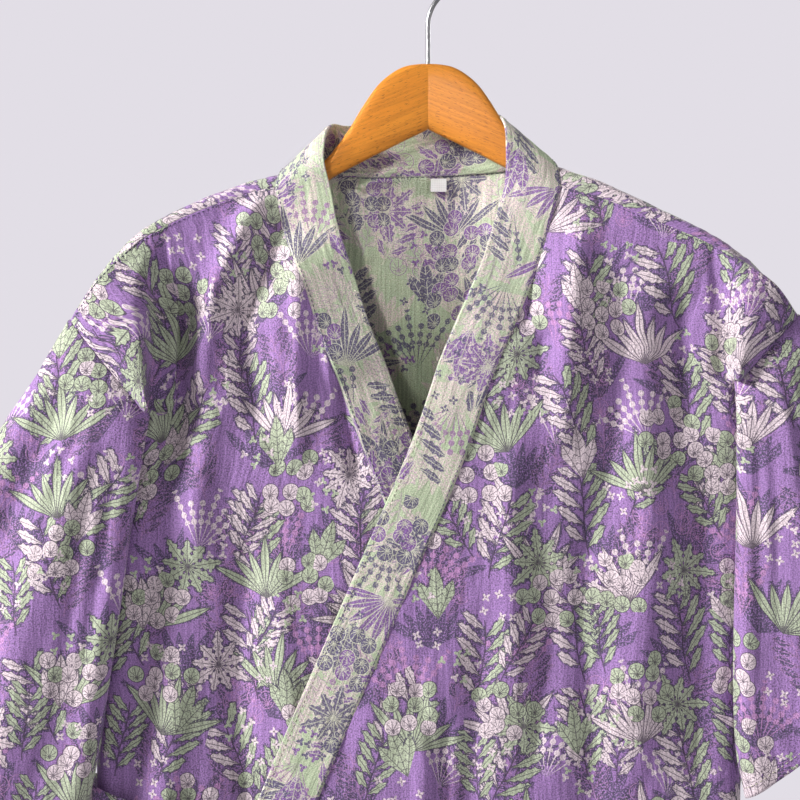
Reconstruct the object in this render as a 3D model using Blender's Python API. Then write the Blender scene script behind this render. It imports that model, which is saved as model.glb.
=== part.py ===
"""Kimono robe of light cloth, hung on a wooden hanger: each cut piece is a thin wall of its own."""
import math

import bmesh
import bpy
import numpy as np

# All lengths are in millimetres; the meshes are written in metres.
# The garment's front faces -Y. Its own left is on the +X side.
MM = 0.001
CLOTH = 1.6
BAND_CLOTH = 3.0
SEAM_GAP = 0.8
UNDERARM_EASE = 1.5
UNDERARM_SPREAD = 1.3
SLEEVE_SPREAD = 1.6
TOP_GAP_SHARE = 1.8
COLLAR_GAP = 0.6
NECK_GAP = 0.8
UNDERARM_RIGHT = (-1.0, -0.15, -0.1)
UNDERARM_LEFT = (1.0, -0.15, -0.1)
CENTRE_X = -6.0

# Hanger
HOOK_WIRE = 3.6
HOOK_LOOP = 19.0
HOOK_LOOP_HEIGHT = -17.2
HOOK_FOOT = -106.0
HOOK_STRAIGHT_TOP = -67.0
HOOK_JOIN = -50.0
HOOK_END = 215.0
HOOK_SIDES = 10
HOOK_HOLE_CLEAR = 0.3
HOOK_HOLE_FOOT = -107.0
ARM_SWEEP = 0.185
ARM_REACH = 214.0
RIDGE_RADIUS = 9.0
RIDGE_END_RADIUS = 3.2

# Garment lengths
COLLAR_WIDTH = 39.0
LAP_DEPTH = 5.0
LAP_OUT_START = 150.0
LAP_OUT_END = 215.0
LAP_TOP = -222.0
LAP_EASE = 60.0
CHEST_DEPTH = -50.0
BACK_DEPTH = 22.0
LOBE_DEPTH = -61.0
LOBE_TOP = -222.0
LOBE_EASE = 34.0
LOBE_SHARES = (0.25, 0.62)
FOLD_FOOT = 6.0
BACK_FOLD_FOOT = 22.0
SHOULDER_OUT = 100.0
FRONT_FALL = 115.0
BACK_FALL = 160.0
CHEST_LEAN = 0.02
BACK_LEAN = 0.06
NECK_REACH = 105.0
NAPE_DEPTH = 16.0
NAPE_CURVE = 26.5
NAPE_POWER = 2.2
FOLD_FADE = 0.18
UNDER_BAND_TILT = 12.0
UNDER_BAND_NARROW = 3.0
UNDER_BAND_TOP = -200.0
UNDER_BAND_FOOT = -380.0
UNDER_BAND_EASE = 60.0
RIDGE_ANGLES = (-45.0, 0.0, 45.0)


def table(names, *rows):
    """A table with named columns: one tuple of numbers for each section or fold."""
    return {name: np.array(column, float) for name, column in zip(names.split(), zip(*rows))}


# Shoulder ridge: height of the cloth over the hanger's arms, by the distance out from the centre.
SHOULDER = table(
    "out right left",
    (100, -169.5, -164.5),
    (130, -178.0, -175.0),
    (160, -190.0, -189.5),
    (190, -205.0, -204.5),
    (210, -218.5, -215.0),
    (230, -240.0, -228.5),
    (245, -260.0, -240.0),
    (260, -283.0, -256.5),
    (280, -321.0, -280.0),
)

# Heights of the cross rows at the centre and at each side, from the shoulder seam to the hem.
ROWS = table(
    "centre right left",
    (-179, 0, 0),
    (-190, 0, 0),
    (-203, 0, 0),
    (-218, 0, 0),
    (-234, 0, 0),
    (-251, 0, 0),
    (-269, 0, 0),
    (-288, 0, 0),
    (-306, 0, 0),
    (-322, 0, 0),
    (-345, -366, -347),
    (-372, -390, -374),
    (-402, -416, -403),
    (-435, -445, -436),
    (-470, -477, -470),
    (-506, -511, -506),
    (-545, -548, -545),
    (-586, -587, -586),
    (-628, -628, -628),
    (-700, -700, -700),
    (-790, -790, -790),
    (-890, -890, -890),
    (-990, -990, -990),
    (-1090, -1090, -1090),
    (-1180, -1180, -1180),
    (-1250, -1250, -1250),
)
ARMHOLE_ROWS = 9

# Inner edge of the fold that falls from each hanger tip, and further down the sleeve's inner edge.
FOLD_EDGE = table(
    "height right left",
    (-200, 192.0, 205.0),
    (-235, 194.5, 214.5),
    (-264, 198.0, 222.0),
    (-303, 197.5, 230.0),
    (-330, 199.0, 232.0),
    (-350, 201.0, 232.0),
    (-393, 207.0, 232.0),
    (-421, 212.5, 232.0),
    (-448, 216.0, 231.0),
    (-485, 219.0, 229.0),
    (-549, 227.0, 227.5),
    (-605, 234.0, 227.0),
    (-660, 234.0, 228.0),
    (-1250, 250.0, 250.0),
)

# The body's side fold under the arms: how far out and at what depth.
SIDE = table(
    "height right left depth",
    (-325, 200.5, 231.5, -44.0),
    (-348, 200.5, 232.0, -37.5),
    (-368, 204.5, 236.0, -34.0),
    (-392, 211.5, 238.5, -31.0),
    (-418, 219.5, 240.0, -29.0),
    (-448, 226.0, 240.5, -27.0),
    (-511, 233.0, 240.0, -24.0),
    (-587, 239.0, 239.0, -22.0),
    (-660, 238.0, 236.0, -20.0),
    (-790, 243.0, 243.0, -16.0),
    (-990, 252.0, 252.0, -12.0),
    (-1250, 262.0, 262.0, -8.0),
)

# Sleeve rings from armhole to cuff: the top fold and the under edge, with depths and half thickness.
SLEEVE = table(
    "right_top_out right_top right_under_out right_under left_top_out left_top left_under_out left_under"
    " top_depth under_depth half",
    (257, -281, 200.5, -349, 277, -277, 232, -325, -40, -45, 9),
    (268, -299, 203.5, -369, 289, -293, 232.5, -348, -39, -52, 12),
    (284, -326, 208.5, -401, 302, -315, 232.5, -382, -38, -53, 14),
    (305, -357, 213.5, -433, 315, -340, 232, -418, -37, -53, 16),
    (323, -392, 218.5, -475, 328, -368, 230.5, -454, -36, -53, 18),
    (339, -428, 223.5, -515, 341, -397, 229, -490, -35, -53, 19),
    (354, -464, 229.0, -555, 354, -427, 228, -526, -34, -53, 20),
    (368, -500, 235.0, -596, 367, -456, 228, -562, -33, -53, 21),
    (382, -536, 243.0, -634, 380, -485, 230, -596, -32, -54, 22),
    (396, -572, 252.0, -667, 393, -514, 236, -626, -31, -55, 22),
)
RING_FRONT_STEPS = 9
RING_SEAM_ANGLE = 20.0
RING_POWER = 2.0 / 3.0
RIDGE_ROWS = 4

# Back neck seam, and the free edge of the collar that stands on it.
NECK = table(
    "out depth height free_out free_depth free_height",
    (105, -28.5, -179.0, 67, -33, -158.0),
    (101, -20.0, -164.5, 66, -21, -134.0),
    (93, -9.0, -163.5, 62, -4, -127.0),
    (76, 2.0, -165.5, 54, 6, -127.5),
    (42, 11.0, -167.0, 33, 15, -127.5),
    (0, 15.0, -167.0, 0, 19, -127.0),
)

NECK_SWELL = 0.7
SEAM_TILT = 0.03
FREE_TILT = 0.06
FREE_SHIFT = -4.0

# Seam between front and collar, across the body at each height.
COLLAR_SEAM = table(
    "height over under",
    (-179, 96.5, -111.5),
    (-190, 93.5, -110.0),
    (-213, 87.0, -105.5),
    (-251, 74.8, -91.0),
    (-293, 56.6, -77.5),
    (-330, 41.4, -62.5),
    (-354, 34.0, -54.2),
    (-387, 21.8, -41.2),
    (-416, 10.0, -30.0),
    (-440, -0.8, -20.5),
    (-512, -32.0, 8.0),
    (-575, -59.6, 32.0),
    (-628, -82.0, 52.0),
    (-700, -108.0, 78.0),
    (-790, -126.0, 100.0),
    (-890, -134.0, 112.0),
    (-1250, -142.0, 125.0),
)

# Folds in the cloth: from top to foot, how wide on each side, and how far out they rise.
# A rise below 0 is a trough.
FRONT_FOLDS = table(
    "top_x top foot_x foot half rise",
    (-156, -226, -154, -290, 12, -5),
    (-187, -242, -190, -372, 11, -6),
    (-109, -246, -116, -372, 14, 5),
    (-166, -318, -172, -470, 17, 6),
    (-140, -430, -134, -700, 18, -6),
    (-84, -322, -62, -405, 7, -3),
    (-186, -480, -196, -900, 16, 7),
    (76, -190, 70, -292, 11, -4),
    (186, -262, 180, -352, 18, -5),
    (150, -330, 146, -600, 20, 5),
    (196, -360, 200, -640, 14, -5),
    (100, -380, 96, -1250, 24, -7),
    (160, -600, 172, -1250, 26, 9),
    (40, -660, 34, -1250, 26, 8),
    (-30, -640, -36, -1250, 24, -7),
    (-100, -680, -104, -1250, 28, 9),
    (-170, -760, -176, -1250, 24, -7),
    (215, -760, 226, -1250, 18, -6),
)
BACK_FOLDS = table(
    "top_x top foot_x foot half rise",
    (-6, -215, -2, -1250, 26, -7),
    (-70, -260, -84, -1250, 26, 7),
    (62, -250, 78, -1250, 28, 7),
    (-135, -290, -150, -1250, 22, -6),
    (128, -280, 146, -1250, 24, -6),
    (-180, -420, -200, -1250, 20, 6),
    (178, -400, 202, -1250, 20, 6),
)
SLEEVE_FOLDS = table(
    "place top foot half rise",
    (0.30, 0.05, 1.0, 0.10, -4.0),
    (0.58, 0.00, 1.0, 0.11, 4.5),
    (0.82, 0.10, 1.0, 0.08, -3.0),
)

# Belt: height of its upper edge across the front, and its own sizes.
BELT = table(
    "x top",
    (-250, -617.0),
    (-221, -628.0),
    (-180, -641.0),
    (-110, -652.0),
    (0, -656.0),
    (110, -654.0),
    (180, -650.0),
    (250, -646.0),
)
BELT_WIDTH = 42.0
BELT_CLEAR = 3.4
BELT_CLEAR_BACK = 6.0
BELT_CLOTH = 2.4
BELT_HALF_STEPS = 12
BELT_CORNER_STEPS = 4
BELT_REACH = 250.0
BELT_FRONT_TURN = 16.0
BELT_BACK_TURN = 34.0
KNOT_X = -30.0
KNOT = (46.0, 16.0, 44.0)
KNOT_STEPS = 8
KNOT_SIDES = 12
KNOT_SQUEEZE = 0.22
KNOT_REACH = 45.0
END_WIDTH = 38.0
END_ROWS = 9
END_COLUMNS = (-0.5, -0.17, 0.17, 0.5)
END_DROP = 60.0
END_SETTLE = 8.0
PIECE_GAP = 0.5

# The belt's two hanging ends: start beside the knot's middle, lean over their length, and length.
BELT_ENDS = table(
    "start lean length layer",
    (-9, -34, 330, 0),
    (10, 26, 300, 1),
)

# Hanger body: outline heights and thickness, by the distance out from the hook.
HANGER = table(
    "out top bottom thick",
    (0, -85.2, -134.5, 13.0),
    (10, -85.8, -137.0, 13.0),
    (19, -88.5, -140.0, 13.0),
    (28, -95.0, -144.5, 13.0),
    (38, -106.0, -150.0, 13.0),
    (49, -123.5, -157.0, 12.5),
    (60, -142.0, -164.0, 12.0),
    (70, -153.5, -171.0, 12.0),
    (80, -163.0, -179.0, 12.0),
    (92, -171.8, -188.0, 12.0),
    (106, -176.5, -196.0, 12.0),
    (136, -184.5, -206.0, 12.0),
    (166, -199.0, -221.0, 12.0),
    (196, -214.0, -236.0, 12.0),
    (206, -220.0, -240.0, 11.0),
    (213, -227.0, -238.0, 7.0),
)
ARM_SECTION_STEPS = 12
HOLE_SIDES = 16
HOOK_STRAIGHT_MIDDLES = (-95.0, -80.0)
HOOK_BEND_STEPS = 8
HOOK_LOOP_STEPS = 29
ARM_EDGE_ROUND = 0.6
LABEL = (12.0, 0.8, 10.0)
LABEL_PLACE = (8.2, 11.6, -175.2)


def smooth(value):
    value = np.clip(value, 0.0, 1.0)
    return value * value * (3.0 - 2.0 * value)


def curve(source, key, name, value):
    """A smooth curve through one column of a table."""
    keys = source[key]
    values = source[name]
    if keys[0] > keys[-1]:
        keys = keys[::-1]
        values = values[::-1]
    slopes = np.gradient(values, keys)
    value = np.clip(value, keys[0], keys[-1])
    index = np.clip(np.searchsorted(keys, value) - 1, 0, len(keys) - 2)
    step = keys[index + 1] - keys[index]
    share = (value - keys[index]) / step
    first = 2 * share**3 - 3 * share**2 + 1
    start = share**3 - 2 * share**2 + share
    end = share**3 - share**2
    return (
        first * values[index]
        + start * step * slopes[index]
        + (1 - first) * values[index + 1]
        + end * step * slopes[index + 1]
    )


def side_name(side):
    return "right" if side < 0 else "left"


def ridge_height(out, side):
    return curve(SHOULDER, "out", side_name(side), out)


def ridge_depth(out, side):
    across = np.abs(CENTRE_X + side * out)
    return -ARM_SWEEP * np.minimum(across, ARM_REACH)


def relief(folds, x, z):
    """How far the folds of one table lift the cloth at a point."""
    total = 0.0
    for top_x, top, foot_x, foot, half, rise in zip(*folds.values()):
        share = (top - z) / (top - foot)
        open_end = foot <= ROWS["centre"][-1]
        fade = smooth(share / FOLD_FADE) * (1.0 if open_end else smooth((1 - share) / FOLD_FADE))
        middle = top_x + (foot_x - top_x) * share
        total += rise * fade * math.exp(-(((x - middle) / half) ** 2))
    return total


def front_depth(x, z):
    side = -1 if x < CENTRE_X else 1
    out = abs(x - CENTRE_X)
    fall = float(ridge_height(max(out, SHOULDER_OUT), side)) - z
    shoulder = float(ridge_depth(max(out, SHOULDER_OUT), side)) - RIDGE_RADIUS
    blend = smooth(fall / FRONT_FALL)
    chest = CHEST_DEPTH + CHEST_LEAN * out
    return shoulder * (1 - blend) + chest * blend - relief(FRONT_FOLDS, x, z)


def back_depth(x, z):
    side = -1 if x < CENTRE_X else 1
    out = abs(x - CENTRE_X)
    fall = float(ridge_height(max(out, SHOULDER_OUT), side)) - z
    if out < NECK_REACH:
        top = NAPE_DEPTH - NAPE_CURVE * (out / NECK_REACH) ** NAPE_POWER
    else:
        top = float(ridge_depth(out, side)) + RIDGE_RADIUS
    blend = smooth(fall / BACK_FALL)
    low = BACK_DEPTH - BACK_LEAN * out
    return top * (1 - blend) + low * blend + relief(BACK_FOLDS, x, z)


def ring_point(side, ring, step):
    """A point of a sleeve ring: step 0 is the shoulder seam, then front, under edge and back."""
    name = side_name(side)
    if step <= 2 * RING_FRONT_STEPS:
        angle = RING_SEAM_ANGLE + step * (180.0 - RING_SEAM_ANGLE) / RING_FRONT_STEPS
    else:
        angle = 360.0 - RING_SEAM_ANGLE + (step - 2 * RING_FRONT_STEPS) * RING_SEAM_ANGLE / 2
    turn = math.radians(angle)
    lean = math.cos(turn)
    share = (1 - math.copysign(abs(lean) ** RING_POWER, lean)) / 2
    top_out = SLEEVE[name + "_top_out"][ring]
    top = SLEEVE[name + "_top"][ring]
    under_out = SLEEVE[name + "_under_out"][ring]
    under = SLEEVE[name + "_under"][ring]
    half = SLEEVE["half"][ring]
    middle = SLEEVE["top_depth"][ring] * (1 - share) + SLEEVE["under_depth"][ring] * share
    swell = math.sin(turn)
    depth = middle - half * swell
    length = ring / (len(SLEEVE["half"]) - 1)
    for place, start, foot, width, rise in zip(*SLEEVE_FOLDS.values()):
        fade = smooth((length - start) / 0.25)
        lift = rise * fade * math.exp(-(((share - place) / width) ** 2))
        depth -= lift * (1.0 if swell > 0 else -0.6) * abs(swell)
    out = top_out + (under_out - top_out) * share
    return np.array((CENTRE_X + side * out, depth, top + (under - top) * share))


def row_height(side, row, out, outer_out, outer_height):
    """Height of a cross row at a distance out: it falls like the shoulder and meets its outer end."""
    start = ROWS["centre"][row]
    top = ridge_height(SHOULDER_OUT, side)
    fall = ridge_height(max(out, SHOULDER_OUT), side) - top
    outer_fall = ridge_height(max(outer_out, SHOULDER_OUT), side) - top
    return float(start + (outer_height - start) * fall / outer_fall)


def outer_end(side, row, at_back):
    """Outer end of a cross row: on the armhole, and lower down on the side fold."""
    if row <= ARMHOLE_ROWS:
        step = 2 * RING_FRONT_STEPS - row if at_back else row
        return ring_point(side, 0, step)
    height = ROWS[side_name(side)][row]
    out = curve(SIDE, "height", side_name(side), height)
    depth = curve(SIDE, "height", "depth", height)
    return np.array((CENTRE_X + side * out, depth, height))


def fold_foot(side, height, outer_out):
    edge = float(curve(FOLD_EDGE, "height", side_name(side), height))
    return min(edge, outer_out) - FOLD_FOOT


INNER_STEPS = 9
FRONT_CORNER_STEPS = 3
BACK_CORNER_STEPS = 4


def front_row(side, row):
    """One cross row of a front, from the collar seam to the armhole or the side."""
    end = outer_end(side, row, False)
    outer_out = abs(end[0] - CENTRE_X)
    start_height = ROWS["centre"][row]
    seam = curve(COLLAR_SEAM, "height", "over" if side > 0 else "under", start_height)
    foot_out = fold_foot(side, end[2], outer_out)
    foot_x = CENTRE_X + side * foot_out

    def on_front(x):
        out = (x - CENTRE_X) * side
        height = row_height(side, row, max(out, 0.0), outer_out, end[2])
        lap = 1 - smooth((out - LAP_OUT_START) / (LAP_OUT_END - LAP_OUT_START))
        lap *= smooth((LAP_TOP - height) / LAP_EASE)
        return np.array((x, front_depth(x, height) - side * LAP_DEPTH * lap, height))

    points = [on_front(seam + (foot_x - seam) * step / INNER_STEPS) for step in range(INNER_STEPS + 1)]
    foot = points[-1]
    for step in range(1, FRONT_CORNER_STEPS):
        turn = math.pi / 2 * step / FRONT_CORNER_STEPS
        if row < ARMHOLE_ROWS:
            share = LOBE_SHARES[step - 1]
            out = foot_out + (outer_out - foot_out) * share
            plain = on_front(CENTRE_X + side * out)
            lobe = smooth((LOBE_TOP - plain[2]) / LOBE_EASE)
            plain[1] += (LOBE_DEPTH - plain[1]) * lobe
            points.append(plain)
            continue
        out = foot_out + (outer_out - foot_out) * math.sin(turn)
        height = row_height(side, row, out, outer_out, end[2])
        depth = end[1] + (foot[1] - end[1]) * math.cos(turn)
        points.append(np.array((CENTRE_X + side * out, depth, height)))
    points.append(end)
    return points


def back_half_row(side, row):
    """One cross row of the back's half, from beside the neck to the armhole or the side."""
    end = outer_end(side, row, True)
    outer_out = abs(end[0] - CENTRE_X)
    ease = min(row / ARMHOLE_ROWS, 1.0)
    foot_out = fold_foot(side, end[2], outer_out) - BACK_FOLD_FOOT * ease
    seam = curve(COLLAR_SEAM, "height", "over" if side > 0 else "under", ROWS["centre"][0])
    start_out = abs(seam - CENTRE_X)

    def on_back(out):
        x = CENTRE_X + side * out
        height = row_height(side, row, out, outer_out, end[2])
        return np.array((x, back_depth(x, height), height))

    reach = foot_out - start_out
    points = [on_back(start_out + reach * step / INNER_STEPS) for step in range(INNER_STEPS + 1)]
    foot = points[-1]
    for step in range(1, BACK_CORNER_STEPS):
        turn = math.pi / 2 * step / BACK_CORNER_STEPS
        out = foot_out + (outer_out - foot_out) * math.sin(turn)
        height = row_height(side, row, out, outer_out, end[2])
        depth = end[1] + (foot[1] - end[1]) * math.cos(turn)
        points.append(np.array((CENTRE_X + side * out, depth, height)))
    points.append(end)
    return points


def respread(line, steps, wanted):
    """A row's points with its outer part divided anew, from one number of steps to another."""
    points = list(line[: INNER_STEPS + 1])
    for index in range(1, wanted + 1):
        place = index / wanted * steps
        low = min(int(place), steps - 1)
        share = place - low
        points.append(line[INNER_STEPS + low] * (1 - share) + line[INNER_STEPS + low + 1] * share)
    return points


def over_ridge(side, front, back):
    """The back's rows over the shoulder, from the seam in front of the ridge."""
    columns = len(back)
    seam = respread(front, FRONT_CORNER_STEPS, BACK_CORNER_STEPS)
    foot_out = abs(seam[INNER_STEPS][0] - CENTRE_X)
    end_out = abs(seam[-1][0] - CENTRE_X)
    rows = [seam]
    for angle in RIDGE_ANGLES:
        turn = math.radians(angle)
        line = []
        for index in range(columns):
            x = seam[index][0]
            out = abs(x - CENTRE_X)
            outer = smooth((out - foot_out) / (end_out - foot_out))
            depth = float(ridge_depth(out, side))
            height = float(ridge_height(max(out, SHOULDER_OUT), side))
            radius = RIDGE_RADIUS * (1 - outer) + RIDGE_END_RADIUS * outer
            depth += radius * math.sin(turn)
            height -= radius * (1 - math.cos(turn))
            line.append(np.array((x, depth, height)))
        rows.append(line)
    for place in range(1, RIDGE_ROWS):
        rows[place][-1] = ring_point(side, 0, 2 * RING_FRONT_STEPS + RIDGE_ROWS - place)
    return rows


def neck_point(index, side):
    """A point of the back neck seam on one side; the neck hangs a little lower on the wearer's right."""
    out = side * NECK["out"][index]
    tilt = SEAM_TILT * out if index else 0.0
    return np.array((CENTRE_X + out, NECK["depth"][index], NECK["height"][index] + tilt))


def neck_free_point(index, side):
    """The collar's free edge above a point of the neck seam."""
    out = side * NECK["free_out"][index]
    height = NECK["free_height"][index] + FREE_TILT * out
    return np.array((CENTRE_X + FREE_SHIFT + out, NECK["free_depth"][index], height))


def back_grid(right_front, left_front):
    """The back's points: over the shoulders, then row by row to the hem."""
    rows = []
    halves = {}
    count = len(ROWS["centre"])
    for side, front in ((-1, right_front), (1, left_front)):
        lower = [back_half_row(side, row) for row in range(count)]
        halves[side] = over_ridge(side, front[0], lower[0]) + lower
    half_steps = len(NECK["out"]) - 1
    for row in range(count + RIDGE_ROWS):
        right = halves[-1][row][::-1]
        left = halves[1][row]
        middle = []
        for side, order in ((-1, range(1, half_steps + 1)), (1, range(half_steps - 1, 0, -1))):
            for index in order:
                out = NECK["out"][index]
                outermost = abs(halves[side][RIDGE_ROWS][0][0] - CENTRE_X)
                even = outermost * (1 - index / half_steps)
                ease = min(max(row - RIDGE_ROWS - 1, 0) / 5.0, 1.0)
                x = CENTRE_X + side * (out * outermost / NECK["out"][0] * (1 - ease) + even * ease)
                if row <= RIDGE_ROWS:
                    height = ROWS["centre"][0] - 1.0
                    low = np.array((x, back_depth(x, height), height))
                    upper = neck_point(index, side)
                    share = row / RIDGE_ROWS
                    point = upper * (1 - share) + low * share
                    point[1:] += NECK_SWELL * math.sin(math.pi * share)
                    point[0] = x
                else:
                    height = ROWS["centre"][row - RIDGE_ROWS]
                    point = np.array((x, back_depth(x, height), height))
                middle.append(point)
        rows.append(right + middle + left)
    return np.array(rows)


def collar_sections(right_front, left_front, back):
    """Seam, middle and free edge of the collar band, from one hem round the neck to the other."""
    sections = []
    for side, front in ((-1, right_front), (1, left_front)):
        seam = front[:, 0]
        path = np.gradient(seam[:, [0, 2]], axis=0)
        path /= np.linalg.norm(path, axis=1)[:, None]
        part = []
        for row, point in enumerate(seam):
            across = np.array((-side * abs(path[row][1]), 0.0, -side * path[row][0]))
            across[2] = abs(path[row][0])
            free = point + across * COLLAR_WIDTH
            if side < 0:
                tilt = smooth((UNDER_BAND_TOP - point[2]) / UNDER_BAND_EASE)
                tilt *= 1 - smooth((UNDER_BAND_FOOT - point[2]) / UNDER_BAND_EASE)
                free = point + across * (COLLAR_WIDTH - UNDER_BAND_NARROW * tilt)
                free[1] += UNDER_BAND_TILT * tilt
            free[1] += front_depth(free[0], free[2]) - front_depth(point[0], point[2])
            if row == 0:
                free = neck_free_point(0, side)
            part.append((point, free))
        sections.append(part)
    neck = []
    half_steps = len(NECK["out"]) - 1
    first = INNER_STEPS + BACK_CORNER_STEPS + 1
    for step in range(2 * half_steps - 1):
        index = step + 1 if step < half_steps else 2 * half_steps - 1 - step
        side = -1 if step < half_steps else 1
        neck.append((back[0][first + step], neck_free_point(index, side)))
    ordered = sections[0][::-1] + neck + sections[1]
    return np.array([(seam, seam * 0.5 + free * 0.5, free) for seam, free in ordered])


def normals_of(grid, flip):
    """Normals across a grid whose outer lines may be guide lines."""
    down = np.gradient(grid, axis=0)
    across = np.gradient(grid, axis=1)
    found = np.cross(down, across) * flip
    length = np.linalg.norm(found, axis=2)
    length[length < 1e-9] = 1.0
    return found / length[:, :, None]


def padded(grid, top, bottom, first, last, closed):
    """The grid with one guide line beyond each edge: a neighbour's line, or the edge carried on."""

    def beyond(edge, inner, guide):
        plain = 2 * edge - inner
        if guide is None:
            return plain
        given = ~np.isnan(guide[:, 0])
        plain[given] = guide[given]
        return plain

    if closed:
        wide = np.concatenate([grid[:, -1:], grid, grid[:, :1]], axis=1)
    else:
        before = beyond(grid[:, 0], grid[:, 1], first)[:, None]
        after = beyond(grid[:, -1], grid[:, -2], last)[:, None]
        wide = np.concatenate([before, grid, after], axis=1)
    upper = 2 * wide[0] - wide[1]
    lower = 2 * wide[-1] - wide[-2]
    if top is not None:
        upper[1:-1] = beyond(grid[0], grid[1], top)
    if bottom is not None:
        lower[1:-1] = beyond(grid[-1], grid[-2], bottom)
    return np.concatenate([upper[None], wide, lower[None]], axis=0)


def wall(name, colour, grid, thick, flip, guides=None, gaps=(0, 0, 0, 0), closed=False, facing=()):
    """A closed wall under a grid of outer points. Gaps are at the top, bottom, first and last edges.

    Facing gives the outward direction at single points where three pieces meet.
    """
    guides = guides or {}
    full = padded(
        grid, guides.get("top"), guides.get("bottom"), guides.get("first"), guides.get("last"), closed
    )
    normals = normals_of(full, flip)[1:-1, 1:-1]
    for row, column, direction in facing:
        normals[row, column] = np.array(direction) / np.linalg.norm(direction)
    outer = grid.copy()
    moves = (
        (gaps[0], np.s_[0, :], np.s_[1, :]),
        (gaps[1], np.s_[-1, :], np.s_[-2, :]),
        (gaps[2], np.s_[:, 0], np.s_[:, 1]),
        (gaps[3], np.s_[:, -1], np.s_[:, -2]),
    )
    for gap, edge, inner in moves:
        if np.any(gap):
            step = grid[inner] - grid[edge]
            length = np.maximum(np.linalg.norm(step, axis=1), 1e-6)[:, None]
            wanted = np.broadcast_to(gap, len(step))[:, None]
            outer[edge] += step / length * np.minimum(wanted, 0.45 * length)
    inside = outer - normals * thick
    rows, columns = grid.shape[:2]
    mesh = bmesh.new()
    front = [[mesh.verts.new(outer[r, c] * MM) for c in range(columns)] for r in range(rows)]
    rear = [[mesh.verts.new(inside[r, c] * MM) for c in range(columns)] for r in range(rows)]
    last = columns if closed else columns - 1
    for r in range(rows - 1):
        for c in range(last):
            n = (c + 1) % columns
            mesh.faces.new((front[r][c], front[r + 1][c], front[r + 1][n], front[r][n]))
            mesh.faces.new((rear[r][c], rear[r][n], rear[r + 1][n], rear[r + 1][c]))
    for c in range(last):
        n = (c + 1) % columns
        mesh.faces.new((front[0][c], front[0][n], rear[0][n], rear[0][c]))
        mesh.faces.new((front[-1][n], front[-1][c], rear[-1][c], rear[-1][n]))
    if not closed:
        for r in range(rows - 1):
            mesh.faces.new((front[r + 1][0], front[r][0], rear[r][0], rear[r + 1][0]))
            mesh.faces.new((front[r][-1], front[r + 1][-1], rear[r + 1][-1], rear[r][-1]))
    finish(name, colour, mesh)


def finish(name, colour, mesh, rounded=True):
    """Writes a mesh as one named object with its own material."""
    bmesh.ops.recalc_face_normals(mesh, faces=mesh.faces)
    for face in mesh.faces:
        face.smooth = rounded
    data = bpy.data.meshes.new(name)
    mesh.to_mesh(data)
    mesh.free()
    obj = bpy.data.objects.new(name, data)
    bpy.context.scene.collection.objects.link(obj)
    data.materials.append(plain_material(name, colour))
    return obj


def plain_material(name, colour):
    material = bpy.data.materials.new(name)
    material.use_nodes = True
    shader = material.node_tree.nodes["Principled BSDF"]
    shader.inputs["Base Color"].default_value = (*colour, 1.0)
    shader.inputs["Roughness"].default_value = 0.8
    return material


PURPLE = (0.21, 0.12, 0.32)
GREEN = (0.38, 0.43, 0.28)
WOOD = (0.60, 0.26, 0.08)
STEEL = (0.55, 0.55, 0.56)
WHITE = (0.85, 0.85, 0.84)


def sleeve_grid(side):
    rings = len(SLEEVE["half"])
    steps = 2 * RING_FRONT_STEPS + RIDGE_ROWS
    return np.array([[ring_point(side, ring, step) for step in range(steps)] for ring in range(rings)])


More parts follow.
